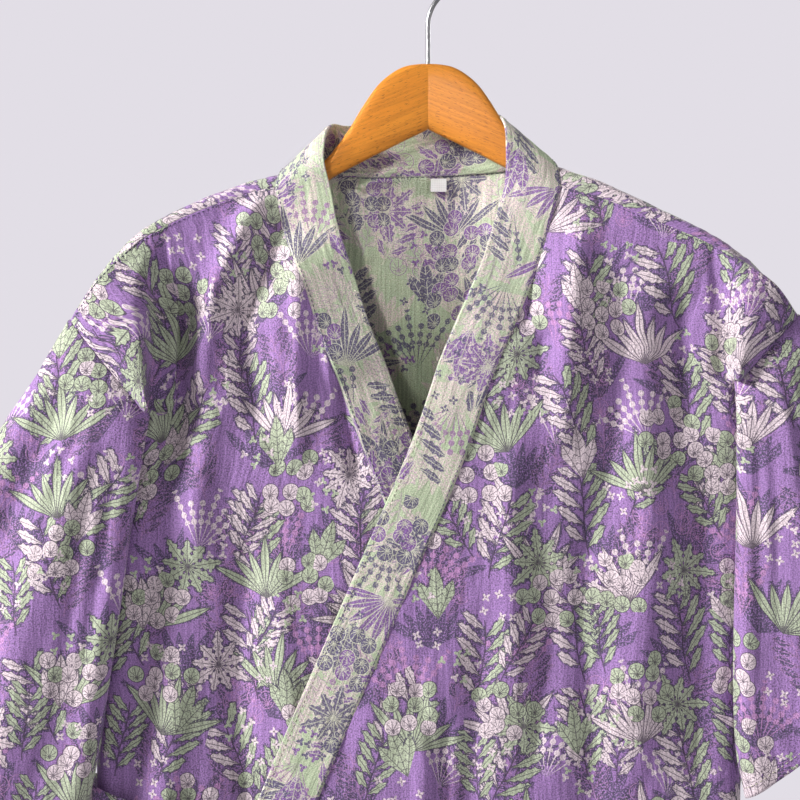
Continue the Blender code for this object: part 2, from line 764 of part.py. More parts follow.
def build_body():
    rows = range(len(ROWS["centre"]))
    under = np.array([front_row(-1, row) for row in rows])
    over = np.array([front_row(1, row) for row in rows])
    back = back_grid(under, over)
    band = collar_sections(under, over, back)
    sleeves = {side: sleeve_grid(side) for side in (-1, 1)}
    count = len(rows)
    front_guides = {}
    for side in (-1, 1):
        back_next = back[RIDGE_ROWS:, 1] if side < 0 else back[RIDGE_ROWS:, -2]
        last = back_next.copy()
        last[:ARMHOLE_ROWS] = sleeves[side][1][:ARMHOLE_ROWS]
        first = band[:count][::-1][:, 1] if side < 0 else band[-count:][:, 1]
        ridge = back[1][::-1] if side < 0 else back[1]
        ridge = ridge[-(INNER_STEPS + BACK_CORNER_STEPS + 1):]
        top = np.array(respread(ridge, BACK_CORNER_STEPS, FRONT_CORNER_STEPS))
        front_guides[side] = {"last": last, "first": first, "top": top}
    gap = SEAM_GAP / 2
    top_gap = gap * TOP_GAP_SHARE
    at_underarm = np.exp(-(((np.arange(count) - ARMHOLE_ROWS - 0.5) / UNDERARM_SPREAD) ** 2))
    side_gap = gap + UNDERARM_EASE * at_underarm
    back_gap = np.concatenate([[gap] * RIDGE_ROWS, side_gap + 2 * UNDERARM_EASE * at_underarm])
    wall("front_under", PURPLE, under, CLOTH, -1, front_guides[-1], (top_gap, 0, gap, side_gap),
         facing=[(ARMHOLE_ROWS, -1, UNDERARM_RIGHT)])
    wall("front_over", PURPLE, over, CLOTH, 1, front_guides[1], (top_gap, 0, gap, side_gap),
         facing=[(ARMHOLE_ROWS, -1, UNDERARM_LEFT)])
    edges = {}
    for side, front in ((-1, under), (1, over)):
        guide = np.full((back.shape[0], 3), np.nan)
        guide[RIDGE_ROWS:] = front[:, -2]
        ring = sleeves[side][1]
        guide[0] = ring[0]
        for place in range(1, RIDGE_ROWS + ARMHOLE_ROWS):
            guide[place] = ring[2 * RING_FRONT_STEPS + RIDGE_ROWS - place]
        edges[side] = guide
    above = np.full((back.shape[1], 3), np.nan)
    shoulder = INNER_STEPS + BACK_CORNER_STEPS + 1
    above[:shoulder] = respread(under[1], FRONT_CORNER_STEPS, BACK_CORNER_STEPS)[::-1]
    above[-shoulder:] = respread(over[1], FRONT_CORNER_STEPS, BACK_CORNER_STEPS)
    back_guides = {"top": above, "first": edges[-1], "last": edges[1]}
    low = ARMHOLE_ROWS + RIDGE_ROWS
    wall("back", PURPLE, back, CLOTH, -1, back_guides, (top_gap, 0, back_gap, back_gap),
         facing=[(low, 0, UNDERARM_RIGHT), (low, -1, UNDERARM_LEFT)])
    neck_part = np.full((band.shape[0] - 2 * count, 3), np.nan)
    seam_guide = np.concatenate([under[::-1][:, 1], neck_part, over[:, 1]])
    seam_guide[count:-count] = back[1][shoulder:-shoulder]
    band_gap = np.full(band.shape[0], COLLAR_GAP)
    band_gap[count:-count] = NECK_GAP
    wall("collar", GREEN, band, BAND_CLOTH, -1, {"first": seam_guide}, (0, 0, band_gap, 0))
    for side, name in ((-1, "sleeve_right"), (1, "sleeve_left")):
        body_edge = []
        front = under if side < 0 else over
        back_edge = back[:, 1] if side < 0 else back[:, -2]
        steps = sleeves[side].shape[1]
        for step in range(steps):
            if step <= RING_FRONT_STEPS:
                body_edge.append(front[step][-2])
            else:
                body_edge.append(back_edge[2 * RING_FRONT_STEPS + RIDGE_ROWS - step])
        places = np.arange(steps)
        near = np.exp(-(((places - RING_FRONT_STEPS) / SLEEVE_SPREAD) ** 2))
        sleeve_gap = gap + 3 * UNDERARM_EASE * near
        guides = {"top": np.array(body_edge)}
        wall(name, PURPLE, sleeves[side], CLOTH, side, guides, (sleeve_gap, 0, 0, 0), closed=True)


def loft(name, colour, sections, rounded=True):
    """A solid through a row of closed sections, with flat ends."""
    mesh = bmesh.new()
    loops = [[mesh.verts.new(point * MM) for point in section] for section in sections]
    for first, second in zip(loops, loops[1:]):
        for index in range(len(first)):
            following = (index + 1) % len(first)
            mesh.faces.new((first[index], first[following], second[following], second[index]))
    mesh.faces.new(loops[0][::-1])
    mesh.faces.new(loops[-1])
    return finish(name, colour, mesh, rounded)


def hook_path():
    """Middle line of the hook wire: straight foot, bend and round loop."""
    heights = (HOOK_FOOT, *HOOK_STRAIGHT_MIDDLES, HOOK_STRAIGHT_TOP)
    points = [np.array((0.0, 0.0, height)) for height in heights]
    join = math.radians(HOOK_JOIN)
    end = np.array((HOOK_LOOP * math.cos(join), 0.0, HOOK_LOOP_HEIGHT + HOOK_LOOP * math.sin(join)))
    rise = end[2] - HOOK_STRAIGHT_TOP
    lean = -math.tan(join) * rise
    for share in np.linspace(0, 1, HOOK_BEND_STEPS + 1)[1:]:
        across = end[0] * (3 * share**2 - 2 * share**3) + lean * (share**3 - share**2)
        points.append(np.array((across, 0.0, HOOK_STRAIGHT_TOP + rise * share)))
    for angle in np.linspace(HOOK_JOIN, HOOK_END, HOOK_LOOP_STEPS + 1)[1:]:
        turn = math.radians(angle)
        height = HOOK_LOOP_HEIGHT + HOOK_LOOP * math.sin(turn)
        points.append(np.array((HOOK_LOOP * math.cos(turn), 0.0, height)))
    return np.array(points)


def build_hook():
    path = hook_path()
    along = np.gradient(path, axis=0)
    along /= np.linalg.norm(along, axis=1)[:, None]
    forward = np.array((0.0, 1.0, 0.0))
    sections = []
    for point, way in zip(path, along):
        across = np.array((way[2], 0.0, -way[0]))
        section = []
        for step in range(HOOK_SIDES):
            turn = 2 * math.pi * step / HOOK_SIDES
            radius = HOOK_WIRE / 2
            section.append(point + radius * (math.cos(turn) * across + math.sin(turn) * forward))
        sections.append(section)
    loft("hanger_hook", STEEL, sections)


def arm_section(x):
    """Cross-section of the hanger's body at a place along it."""
    out = abs(x)
    top = float(curve(HANGER, "out", "top", out))
    bottom = float(curve(HANGER, "out", "bottom", out))
    half = float(curve(HANGER, "out", "thick", out)) / 2
    points = []
    for step in range(ARM_SECTION_STEPS):
        turn = 2 * math.pi * (step + 0.5) / ARM_SECTION_STEPS
        lean = math.cos(turn)
        rise = math.sin(turn)
        depth = half * math.copysign(abs(lean) ** ARM_EDGE_ROUND, lean)
        height = (top + bottom) / 2
        height += (top - bottom) / 2 * math.copysign(abs(rise) ** ARM_EDGE_ROUND, rise)
        points.append(np.array((x, depth - ARM_SWEEP * out, height)))
    return points


def build_hanger():
    places = HANGER["out"]
    stations = list(-places[:0:-1]) + list(places)
    body = loft("hanger_body", WOOD, [arm_section(x) for x in stations])
    bpy.ops.mesh.primitive_cylinder_add(
        vertices=HOLE_SIDES,
        radius=(HOOK_WIRE / 2 + HOOK_HOLE_CLEAR) * MM,
        depth=(HOOK_STRAIGHT_TOP - HOOK_HOLE_FOOT) * MM,
        location=(0, 0, (HOOK_STRAIGHT_TOP + HOOK_HOLE_FOOT) / 2 * MM),
    )
    drill = bpy.context.object
    drill.name = "hook_hole_cutter"
    drill.hide_render = True
    drill.display_type = "WIRE"
    cut = body.modifiers.new("hook_hole", "BOOLEAN")
    cut.operation = "DIFFERENCE"
    cut.solver = "EXACT"
    cut.object = drill


def box(name, colour, middle, size):
    mesh = bmesh.new()
    bmesh.ops.create_cube(mesh, size=1.0)
    for vert in mesh.verts:
        for axis in range(3):
            vert.co[axis] = (vert.co[axis] * size[axis] + middle[axis]) * MM
    finish(name, colour, mesh, False)


def belt_layer(x, height):
    """Depth just in front of both fronts, where the belt lies."""
    out = abs(x - CENTRE_X)
    lap = 1 - smooth((out - LAP_OUT_START) / (LAP_OUT_END - LAP_OUT_START))
    return front_depth(x, height) - LAP_DEPTH * lap - BELT_CLEAR


def belt_ring(share):
    """The belt's outer line round the waist, at a share of its width below its upper edge."""
    feet = {}
    for side in (-1, 1):
        name = side_name(side)
        top = float(curve(BELT, "x", "top", side * BELT_REACH))
        height = top - share * BELT_WIDTH
        side_out = float(curve(SIDE, "height", name, height)) + BELT_CLEAR
        feet[side] = (side_out, height)

    def front_point(x):
        height = float(curve(BELT, "x", "top", x)) - share * BELT_WIDTH
        return np.array((x, belt_layer(x, height) - BELT_CLOTH, height))

    def corner(side, at_back):
        side_out, height = feet[side]
        side_depth = float(curve(SIDE, "height", "depth", height))
        foot_out = side_out - (BELT_BACK_TURN if at_back else BELT_FRONT_TURN)
        foot_x = CENTRE_X + side * foot_out
        if at_back:
            foot_depth = back_depth(foot_x, height) + BELT_CLEAR_BACK + BELT_CLOTH
        else:
            foot_depth = front_point(foot_x)[1]
        found = []
        for step in range(BELT_CORNER_STEPS + 1):
            turn = math.pi / 2 * step / BELT_CORNER_STEPS
            out = foot_out + (side_out + BELT_CLOTH - foot_out) * math.sin(turn)
            depth = side_depth + (foot_depth - side_depth) * math.cos(turn)
            x = CENTRE_X + side * out
            level = float(curve(BELT, "x", "top", x)) - share * BELT_WIDTH
            found.append(np.array((x, depth, level)))
        return found

    right_front = corner(-1, False)
    left_front = corner(1, False)
    right_back = corner(-1, True)
    left_back = corner(1, True)
    points = right_front[::-1]
    start = right_front[0][0]
    end = left_front[0][0]
    for step in range(1, BELT_HALF_STEPS * 2):
        points.append(front_point(start + (end - start) * step / (BELT_HALF_STEPS * 2)))
    points += left_front
    points += left_back[::-1][1:]
    start = left_back[0][0]
    end = right_back[0][0]
    for step in range(1, BELT_HALF_STEPS):
        x = start + (end - start) * step / BELT_HALF_STEPS
        level = left_back[0][2] + (right_back[0][2] - left_back[0][2]) * step / BELT_HALF_STEPS
        points.append(np.array((x, back_depth(x, level) + BELT_CLEAR_BACK + BELT_CLOTH, level)))
    points += right_back[:-1]
    return points


def build_belt():
    grid = np.array([belt_ring(share) for share in (0.0, 0.5, 1.0)])
    wall("belt", PURPLE, grid, BELT_CLOTH, 1, closed=True)
    middle = float(curve(BELT, "x", "top", KNOT_X)) - BELT_WIDTH / 2
    nearest = min(grid[:, :, 1][np.abs(grid[:, :, 0] - KNOT_X) < KNOT_REACH])
    layer = BELT_CLOTH + PIECE_GAP
    for start, lean, length, place in zip(*BELT_ENDS.values()):
        rows = []
        for row in range(END_ROWS):
            share = row / (END_ROWS - 1)
            height = middle - length * share
            x = KNOT_X + start + lean * share
            depth = nearest - (place + 1) * layer - place * PIECE_GAP
            columns = []
            for across in END_COLUMNS:
                below = smooth((middle - BELT_WIDTH / 2 - END_SETTLE - height) / END_DROP)
                near = belt_layer(x + across * END_WIDTH, height) - place * (layer + PIECE_GAP)
                settled = min(near, depth + END_SETTLE)
                set_depth = depth * (1 - below) + settled * below
                columns.append(np.array((x + across * END_WIDTH, set_depth, height)))
            rows.append(columns)
        name = "belt_end_right" if lean < 0 else "belt_end_left"
        wall(name, PURPLE, np.array(rows), BELT_CLOTH, 1)
    front = nearest - 2 * layer - 2 * PIECE_GAP
    sections = []
    for share in np.linspace(-1, 1, KNOT_STEPS):
        squeeze = 1 - KNOT_SQUEEZE * abs(share) ** 3
        section = []
        for step in range(KNOT_SIDES):
            turn = 2 * math.pi * (step + 0.5) / KNOT_SIDES
            lean = math.cos(turn)
            rise = math.sin(turn)
            forward = math.copysign(abs(lean) ** ARM_EDGE_ROUND, lean)
            upward = math.copysign(abs(rise) ** ARM_EDGE_ROUND, rise)
            depth = front - KNOT[1] / 2 + KNOT[1] / 2 * squeeze * forward
            height = middle + KNOT[2] / 2 * squeeze * upward
            section.append(np.array((KNOT_X + share * KNOT[0] / 2, depth, height)))
        sections.append(section)
    loft("belt_knot", PURPLE, sections)


def main():
    for obj in list(bpy.data.objects):
        bpy.data.objects.remove(obj)
    build_body()
    build_belt()
    build_hanger()
    build_hook()
    box("size_label", WHITE, LABEL_PLACE, LABEL)


main()
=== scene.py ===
"""Kimono robe on a hanger: the cloth, print, stitching and finish of each piece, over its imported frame."""
import math

import bmesh
import bpy
import numpy as np
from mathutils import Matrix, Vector


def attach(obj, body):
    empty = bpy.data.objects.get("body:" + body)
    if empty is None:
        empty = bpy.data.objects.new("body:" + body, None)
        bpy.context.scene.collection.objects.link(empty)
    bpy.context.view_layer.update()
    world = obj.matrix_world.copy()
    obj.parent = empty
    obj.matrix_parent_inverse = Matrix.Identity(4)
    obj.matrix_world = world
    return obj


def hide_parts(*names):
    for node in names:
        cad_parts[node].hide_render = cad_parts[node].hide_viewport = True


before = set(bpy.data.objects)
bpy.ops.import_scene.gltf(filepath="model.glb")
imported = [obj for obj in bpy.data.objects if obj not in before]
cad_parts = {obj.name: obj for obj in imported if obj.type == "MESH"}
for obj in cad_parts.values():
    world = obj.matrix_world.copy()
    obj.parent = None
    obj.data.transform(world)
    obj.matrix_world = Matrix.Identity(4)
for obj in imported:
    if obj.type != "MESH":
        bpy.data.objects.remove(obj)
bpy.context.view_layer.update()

bl_info = {
    "name": "Kimono robe on a hanger",
    "version": (1, 0, 0),
    "blender": (4, 5, 0),
    "location": "View3D > Sidebar > Robe",
    "description": "Makes a printed gauze kimono robe, its belt and the wooden hanger that carries it",
    "category": "Add Mesh",
}

# Lengths in the tables are in millimetres. The garment's front faces -Y, and its own left is on the +X side.
MM = 0.001
CLOTH_THICK = 0.7
BAND_THICK = 2.4
CENTRE_X = -6.0

# Hanger
HOOK_WIRE = 3.6
HOOK_LOOP = 19.0
HOOK_LOOP_HEIGHT = -17.2
HOOK_FOOT = -106.0
HOOK_STRAIGHT_TOP = -67.0
HOOK_JOIN = -50.0
HOOK_END = 215.0
ARM_SWEEP = 0.185
ARM_REACH = 214.0
RIDGE_RADIUS = 9.0
RIDGE_END_RADIUS = 3.2

# Garment lengths
COLLAR_WIDTH = 39.0
LAP_DEPTH = 5.0
LAP_OUT_START = 150.0
LAP_OUT_END = 215.0
LAP_TOP = -222.0
LAP_EASE = 60.0
CHEST_DEPTH = -50.0
BACK_DEPTH = 22.0
LOBE_DEPTH = -61.0
LOBE_TOP = -222.0
LOBE_EASE = 34.0
LOBE_SHARES = (0.25, 0.62)
FOLD_FOOT = 6.0
BACK_FOLD_FOOT = 22.0
SHOULDER_OUT = 100.0
FRONT_FALL = 115.0
BACK_FALL = 160.0
CHEST_LEAN = 0.02
BACK_LEAN = 0.06
NECK_REACH = 105.0
NAPE_DEPTH = 16.0
NAPE_CURVE = 26.5
NAPE_POWER = 2.2
UNDER_BAND_TILT = 12.0
UNDER_BAND_NARROW = 3.0
UNDER_BAND_TOP = -200.0
UNDER_BAND_FOOT = -380.0
UNDER_BAND_EASE = 60.0
RIDGE_ANGLES = (-45.0, 0.0, 45.0)


def table(names, *rows):
    """A table with named columns: one tuple of numbers for each section or fold."""
    return {name: np.array(column, float) for name, column in zip(names.split(), zip(*rows))}


# Shoulder ridge: height of the cloth over the hanger's arms, by the distance out from the centre.
SHOULDER = table(
    "out right left",
    (100, -169.5, -164.5),
    (130, -178.0, -175.0),
    (160, -190.0, -189.5),
    (190, -205.0, -204.5),
    (210, -218.5, -215.0),
    (230, -240.0, -228.5),
    (245, -260.0, -240.0),
    (260, -283.0, -256.5),
    (280, -321.0, -280.0),
)

# Heights of the cross rows at the centre and at each side, from the shoulder seam to the hem.
ROWS = table(
    "centre right left",
    (-179, 0, 0),
    (-190, 0, 0),
    (-203, 0, 0),
    (-218, 0, 0),
    (-234, 0, 0),
    (-251, 0, 0),
    (-269, 0, 0),
    (-288, 0, 0),
    (-306, 0, 0),
    (-322, 0, 0),
    (-345, -366, -347),
    (-372, -390, -374),
    (-402, -416, -403),
    (-435, -445, -436),
    (-470, -477, -470),
    (-506, -511, -506),
    (-545, -548, -545),
    (-586, -587, -586),
    (-628, -628, -628),
    (-700, -700, -700),
    (-790, -790, -790),
    (-890, -890, -890),
    (-990, -990, -990),
    (-1090, -1090, -1090),
    (-1180, -1180, -1180),
    (-1250, -1250, -1250),
)
ROW_COUNT = len(ROWS["centre"])
ARMHOLE_ROWS = 9

# Inner edge of the fold that falls from each hanger tip, and further down the sleeve's inner edge.
FOLD_EDGE = table(
    "height right left",
    (-200, 192.0, 205.0),
    (-235, 194.5, 214.5),
    (-264, 198.0, 222.0),
    (-303, 197.5, 230.0),
    (-330, 199.0, 232.0),
    (-350, 201.0, 232.0),
    (-393, 207.0, 232.0),
    (-421, 212.5, 232.0),
    (-448, 216.0, 231.0),
    (-485, 219.0, 229.0),
    (-549, 227.0, 227.5),
    (-605, 234.0, 227.0),
    (-660, 234.0, 228.0),
    (-1250, 250.0, 250.0),
)

# The body's side fold under the arms: how far out and at what depth.
SIDE = table(
    "height right left depth",
    (-325, 200.5, 231.5, -44.0),
    (-348, 203.5, 233.5, -37.5),
    (-368, 208.5, 238.5, -34.0),
    (-392, 215.5, 241.0, -31.0),
    (-418, 222.5, 242.0, -29.0),
    (-448, 226.0, 240.5, -27.0),
    (-511, 233.0, 240.0, -24.0),
    (-587, 239.0, 239.0, -22.0),
    (-660, 238.0, 236.0, -20.0),
    (-790, 243.0, 243.0, -16.0),
    (-990, 252.0, 252.0, -12.0),
    (-1250, 262.0, 262.0, -8.0),
)

# Sleeve rings from armhole to cuff: the top fold and the under edge, with depths and half thickness.
SLEEVE = table(
    "right_top_out right_top right_under_out right_under left_top_out left_top left_under_out left_under"
    " top_depth under_depth half",
    (257, -281, 200.5, -349, 277, -277, 232, -325, -40, -45, 9),
    (268, -299, 203.5, -369, 289, -293, 232.5, -348, -39, -52, 12),
    (284, -326, 208.5, -401, 302, -315, 232.5, -382, -38, -53, 14),
    (305, -357, 213.5, -433, 315, -340, 232, -418, -37, -53, 16),
    (323, -392, 218.5, -475, 328, -368, 230.5, -454, -36, -53, 18),
    (339, -428, 223.5, -515, 341, -397, 229, -490, -35, -53, 19),
    (354, -464, 229.0, -555, 354, -427, 228, -526, -34, -53, 20),
    (368, -500, 235.0, -596, 367, -456, 228, -562, -33, -53, 21),
    (382, -536, 243.0, -634, 380, -485, 230, -596, -32, -54, 22),
    (396, -572, 252.0, -667, 393, -514, 236, -626, -31, -55, 22),
)
RING_FRONT_STEPS = 9
RING_SEAM_ANGLE = 20.0
RING_POWER = 2.0 / 3.0
RIDGE_ROWS = 4

# Back neck seam, and the free edge of the collar that stands on it.
NECK = table(
    "out depth height free_out free_depth free_height",
    (105, -28.5, -179.0, 67, -33, -158.0),
    (101, -20.0, -164.5, 66, -21, -134.0),
    (93, -9.0, -163.5, 62, -4, -127.0),
    (76, 2.0, -165.5, 54, 6, -127.5),
    (42, 11.0, -167.0, 33, 15, -127.5),
    (0, 15.0, -167.0, 0, 19, -127.0),
)

NECK_SWELL = 0.7
SEAM_TILT = 0.03
FREE_TILT = 0.06
FREE_SHIFT = -4.0

# Seam between front and collar, across the body at each height.
COLLAR_SEAM = table(
    "height over under",
    (-179, 96.5, -111.5),
    (-190, 93.5, -110.0),
    (-213, 87.0, -105.5),
    (-251, 74.8, -91.0),
    (-293, 56.6, -77.5),
    (-330, 41.4, -62.5),
    (-354, 34.0, -54.2),
    (-387, 21.8, -41.2),
    (-416, 10.0, -30.0),
    (-440, -0.8, -20.5),
    (-512, -32.0, 8.0),
    (-575, -59.6, 32.0),
    (-628, -82.0, 52.0),
    (-700, -108.0, 78.0),
    (-790, -126.0, 100.0),
    (-890, -134.0, 112.0),
    (-1250, -142.0, 125.0),
)

# Belt: height of its upper edge across the front, and its own sizes.
BELT = table(
    "x top",
    (-250, -617.0),
    (-221, -628.0),
    (-180, -641.0),
    (-110, -652.0),
    (0, -656.0),
    (110, -654.0),
    (180, -650.0),
    (250, -646.0),
)
BELT_WIDTH = 42.0
BELT_CLEAR = 3.4
BELT_CLEAR_BACK = 6.0
BELT_CLOTH = 2.4
BELT_HALF_STEPS = 12
BELT_CORNER_STEPS = 4
BELT_REACH = 250.0
BELT_FRONT_TURN = 16.0
BELT_BACK_TURN = 34.0
KNOT_X = -30.0
KNOT = (46.0, 16.0, 44.0)
KNOT_REACH = 45.0
END_WIDTH = 38.0
END_DROP = 60.0
END_SETTLE = 8.0
PIECE_GAP = 0.5

# The belt's two hanging ends: start beside the knot's middle, lean over their length, and length.
BELT_ENDS = table(
    "start lean length layer",
    (-9, -34, 330, 0),
    (10, 26, 300, 1),
)

# Hanger body: outline heights and thickness, by the distance out from the hook.
HANGER = table(
    "out top bottom thick",
    (0, -85.2, -134.5, 13.0),
    (10, -86.2, -139.6, 13.0),
    (19, -88.5, -144.2, 13.0),
    (28, -93.8, -148.9, 13.0),
    (38, -103.0, -154.0, 13.0),
    (49, -119.0, -160.0, 12.5),
    (60, -137.5, -166.0, 12.0),
    (70, -151.5, -171.6, 12.0),
    (80, -163.0, -179.0, 12.0),
    (92, -171.8, -188.0, 12.0),
    (106, -176.5, -196.0, 12.0),
    (136, -184.5, -206.0, 12.0),
    (166, -199.0, -221.0, 12.0),
    (196, -214.0, -236.0, 12.0),
    (206, -220.0, -240.0, 11.0),
    (213, -227.0, -238.0, 7.0),
)
ARM_SECTION_STEPS = 40
HOOK_STRAIGHT_MIDDLES = (-95.0, -80.0)
HOOK_BEND_STEPS = 8
HOOK_LOOP_STEPS = 29
ARM_EDGE_ROUND = 0.6
LABEL = (12.0, 0.8, 10.0)
LABEL_PLACE = (8.2, 11.6, -175.2)


def smooth(value):
    value = np.clip(value, 0.0, 1.0)
    return value * value * (3.0 - 2.0 * value)


def between(values, slopes, index, step, share):
    """A share of the smooth way from each indexed value to the next, with the given slopes."""
    first = 2 * share**3 - 3 * share**2 + 1
    start = share**3 - 2 * share**2 + share
    end = share**3 - share**2
    return (
        first * values[index]
        + start * step * slopes[index]
        + (1 - first) * values[index + 1]
        + end * step * slopes[index + 1]
    )


def curve(source, key, name, value):
    """A smooth curve through one column of a table."""
    keys = source[key]
    values = source[name]
    if keys[0] > keys[-1]:
        keys = keys[::-1]
        values = values[::-1]
    slopes = np.gradient(values, keys)
    value = np.clip(value, keys[0], keys[-1])
    index = np.clip(np.searchsorted(keys, value) - 1, 0, len(keys) - 2)
    step = keys[index + 1] - keys[index]
    return between(values, slopes, index, step, (value - keys[index]) / step)


def side_name(side):
    return "right" if side < 0 else "left"


def ridge_height(out, side):
    return curve(SHOULDER, "out", side_name(side), out)


def ridge_depth(out, side):
    across = np.abs(CENTRE_X + side * out)
    return -ARM_SWEEP * np.minimum(across, ARM_REACH)


def front_depth(x, z):
    side = -1 if x < CENTRE_X else 1
    out = abs(x - CENTRE_X)
    fall = float(ridge_height(max(out, SHOULDER_OUT), side)) - z
    shoulder = float(ridge_depth(max(out, SHOULDER_OUT), side)) - RIDGE_RADIUS
    blend = smooth(fall / FRONT_FALL)
    chest = CHEST_DEPTH + CHEST_LEAN * out
    return shoulder * (1 - blend) + chest * blend


def back_depth(x, z):
    side = -1 if x < CENTRE_X else 1
    out = abs(x - CENTRE_X)
    fall = float(ridge_height(max(out, SHOULDER_OUT), side)) - z
    if out < NECK_REACH:
        top = NAPE_DEPTH - NAPE_CURVE * (out / NECK_REACH) ** NAPE_POWER
    else:
        top = float(ridge_depth(out, side)) + RIDGE_RADIUS
    blend = smooth(fall / BACK_FALL)
    low = BACK_DEPTH - BACK_LEAN * out
    return top * (1 - blend) + low * blend


def ring_point(side, ring, step):
    """A point of a sleeve ring: step 0 is the shoulder seam, then front, under edge and back."""
    name = side_name(side)
    if step <= 2 * RING_FRONT_STEPS:
        angle = RING_SEAM_ANGLE + step * (180.0 - RING_SEAM_ANGLE) / RING_FRONT_STEPS
    else:
        angle = 360.0 - RING_SEAM_ANGLE + (step - 2 * RING_FRONT_STEPS) * RING_SEAM_ANGLE / 2
    turn = math.radians(angle)
    lean = math.cos(turn)
    share = (1 - math.copysign(abs(lean) ** RING_POWER, lean)) / 2
    top_out = SLEEVE[name + "_top_out"][ring]
    top = SLEEVE[name + "_top"][ring]
    under_out = SLEEVE[name + "_under_out"][ring]
    under = SLEEVE[name + "_under"][ring]
    half = SLEEVE["half"][ring]
    middle = SLEEVE["top_depth"][ring] * (1 - share) + SLEEVE["under_depth"][ring] * share
    swell = math.sin(turn)
    depth = middle - half * swell
    out = top_out + (under_out - top_out) * share
    return np.array((CENTRE_X + side * out, depth, top + (under - top) * share))


def row_height(side, row, out, outer_out, outer_height):
    """Height of a cross row at a distance out: it falls like the shoulder and meets its outer end."""
    start = ROWS["centre"][row]
    top = ridge_height(SHOULDER_OUT, side)
    fall = ridge_height(max(out, SHOULDER_OUT), side) - top
    outer_fall = ridge_height(max(outer_out, SHOULDER_OUT), side) - top
    return float(start + (outer_height - start) * fall / outer_fall)


def outer_end(side, row, at_back):
    """Outer end of a cross row: on the armhole, and lower down on the side fold."""
    if row <= ARMHOLE_ROWS:
        step = 2 * RING_FRONT_STEPS - row if at_back else row
        return ring_point(side, 0, step)
    height = ROWS[side_name(side)][row]
    out = curve(SIDE, "height", side_name(side), height)
    depth = curve(SIDE, "height", "depth", height)
    return np.array((CENTRE_X + side * out, depth, height))


def fold_foot(side, height, outer_out):
    edge = float(curve(FOLD_EDGE, "height", side_name(side), height))
    return min(edge, outer_out) - FOLD_FOOT


INNER_STEPS = 9
FRONT_CORNER_STEPS = 3
BACK_CORNER_STEPS = 4


def corner_point(side, row, turn, foot_out, foot_depth, end):
    """A point of the quarter round between a row's foot and its outer end."""
    outer_out = abs(end[0] - CENTRE_X)
    out = foot_out + (outer_out - foot_out) * math.sin(turn)
    height = row_height(side, row, out, outer_out, end[2])
    depth = end[1] + (foot_depth - end[1]) * math.cos(turn)
    return np.array((CENTRE_X + side * out, depth, height))


def front_row(side, row):
    """One cross row of a front, from the collar seam to the armhole or the side."""
    end = outer_end(side, row, False)
    outer_out = abs(end[0] - CENTRE_X)
    start_height = ROWS["centre"][row]
    seam = curve(COLLAR_SEAM, "height", "over" if side > 0 else "under", start_height)
    foot_out = fold_foot(side, end[2], outer_out)
    foot_x = CENTRE_X + side * foot_out

    def on_front(x):
        out = (x - CENTRE_X) * side
        height = row_height(side, row, max(out, 0.0), outer_out, end[2])
        lap = 1 - smooth((out - LAP_OUT_START) / (LAP_OUT_END - LAP_OUT_START))
        lap *= smooth((LAP_TOP - height) / LAP_EASE)
        return np.array((x, front_depth(x, height) - side * LAP_DEPTH * lap, height))

    points = [on_front(seam + (foot_x - seam) * step / INNER_STEPS) for step in range(INNER_STEPS + 1)]
    foot = points[-1]
    for step in range(1, FRONT_CORNER_STEPS):
        turn = math.pi / 2 * step / FRONT_CORNER_STEPS
        if row < ARMHOLE_ROWS:
            share = LOBE_SHARES[step - 1]
            out = foot_out + (outer_out - foot_out) * share
            plain = on_front(CENTRE_X + side * out)
            lobe = smooth((LOBE_TOP - plain[2]) / LOBE_EASE)
            plain[1] += (LOBE_DEPTH - plain[1]) * lobe
            points.append(plain)
            continue
        points.append(corner_point(side, row, turn, foot_out, foot[1], end))
    points.append(end)
    return points


def back_half_row(side, row):
    """One cross row of the back's half, from beside the neck to the armhole or the side."""
    end = outer_end(side, row, True)
    outer_out = abs(end[0] - CENTRE_X)
    ease = min(row / ARMHOLE_ROWS, 1.0)
    foot_out = fold_foot(side, end[2], outer_out) - BACK_FOLD_FOOT * ease
    seam = curve(COLLAR_SEAM, "height", "over" if side > 0 else "under", ROWS["centre"][0])
    start_out = abs(seam - CENTRE_X)

    def on_back(out):
        x = CENTRE_X + side * out
        height = row_height(side, row, out, outer_out, end[2])
        return np.array((x, back_depth(x, height), height))

    reach = foot_out - start_out
    points = [on_back(start_out + reach * step / INNER_STEPS) for step in range(INNER_STEPS + 1)]
    foot = points[-1]
    for step in range(1, BACK_CORNER_STEPS):
        turn = math.pi / 2 * step / BACK_CORNER_STEPS
        points.append(corner_point(side, row, turn, foot_out, foot[1], end))
    points.append(end)
    return points


def respread(line, steps, wanted):
    """A row's points with its outer part divided anew, from one number of steps to another."""
    points = list(line[: INNER_STEPS + 1])
    for index in range(1, wanted + 1):
        place = index / wanted * steps
        low = min(int(place), steps - 1)
        share = place - low
        points.append(line[INNER_STEPS + low] * (1 - share) + line[INNER_STEPS + low + 1] * share)
    return points


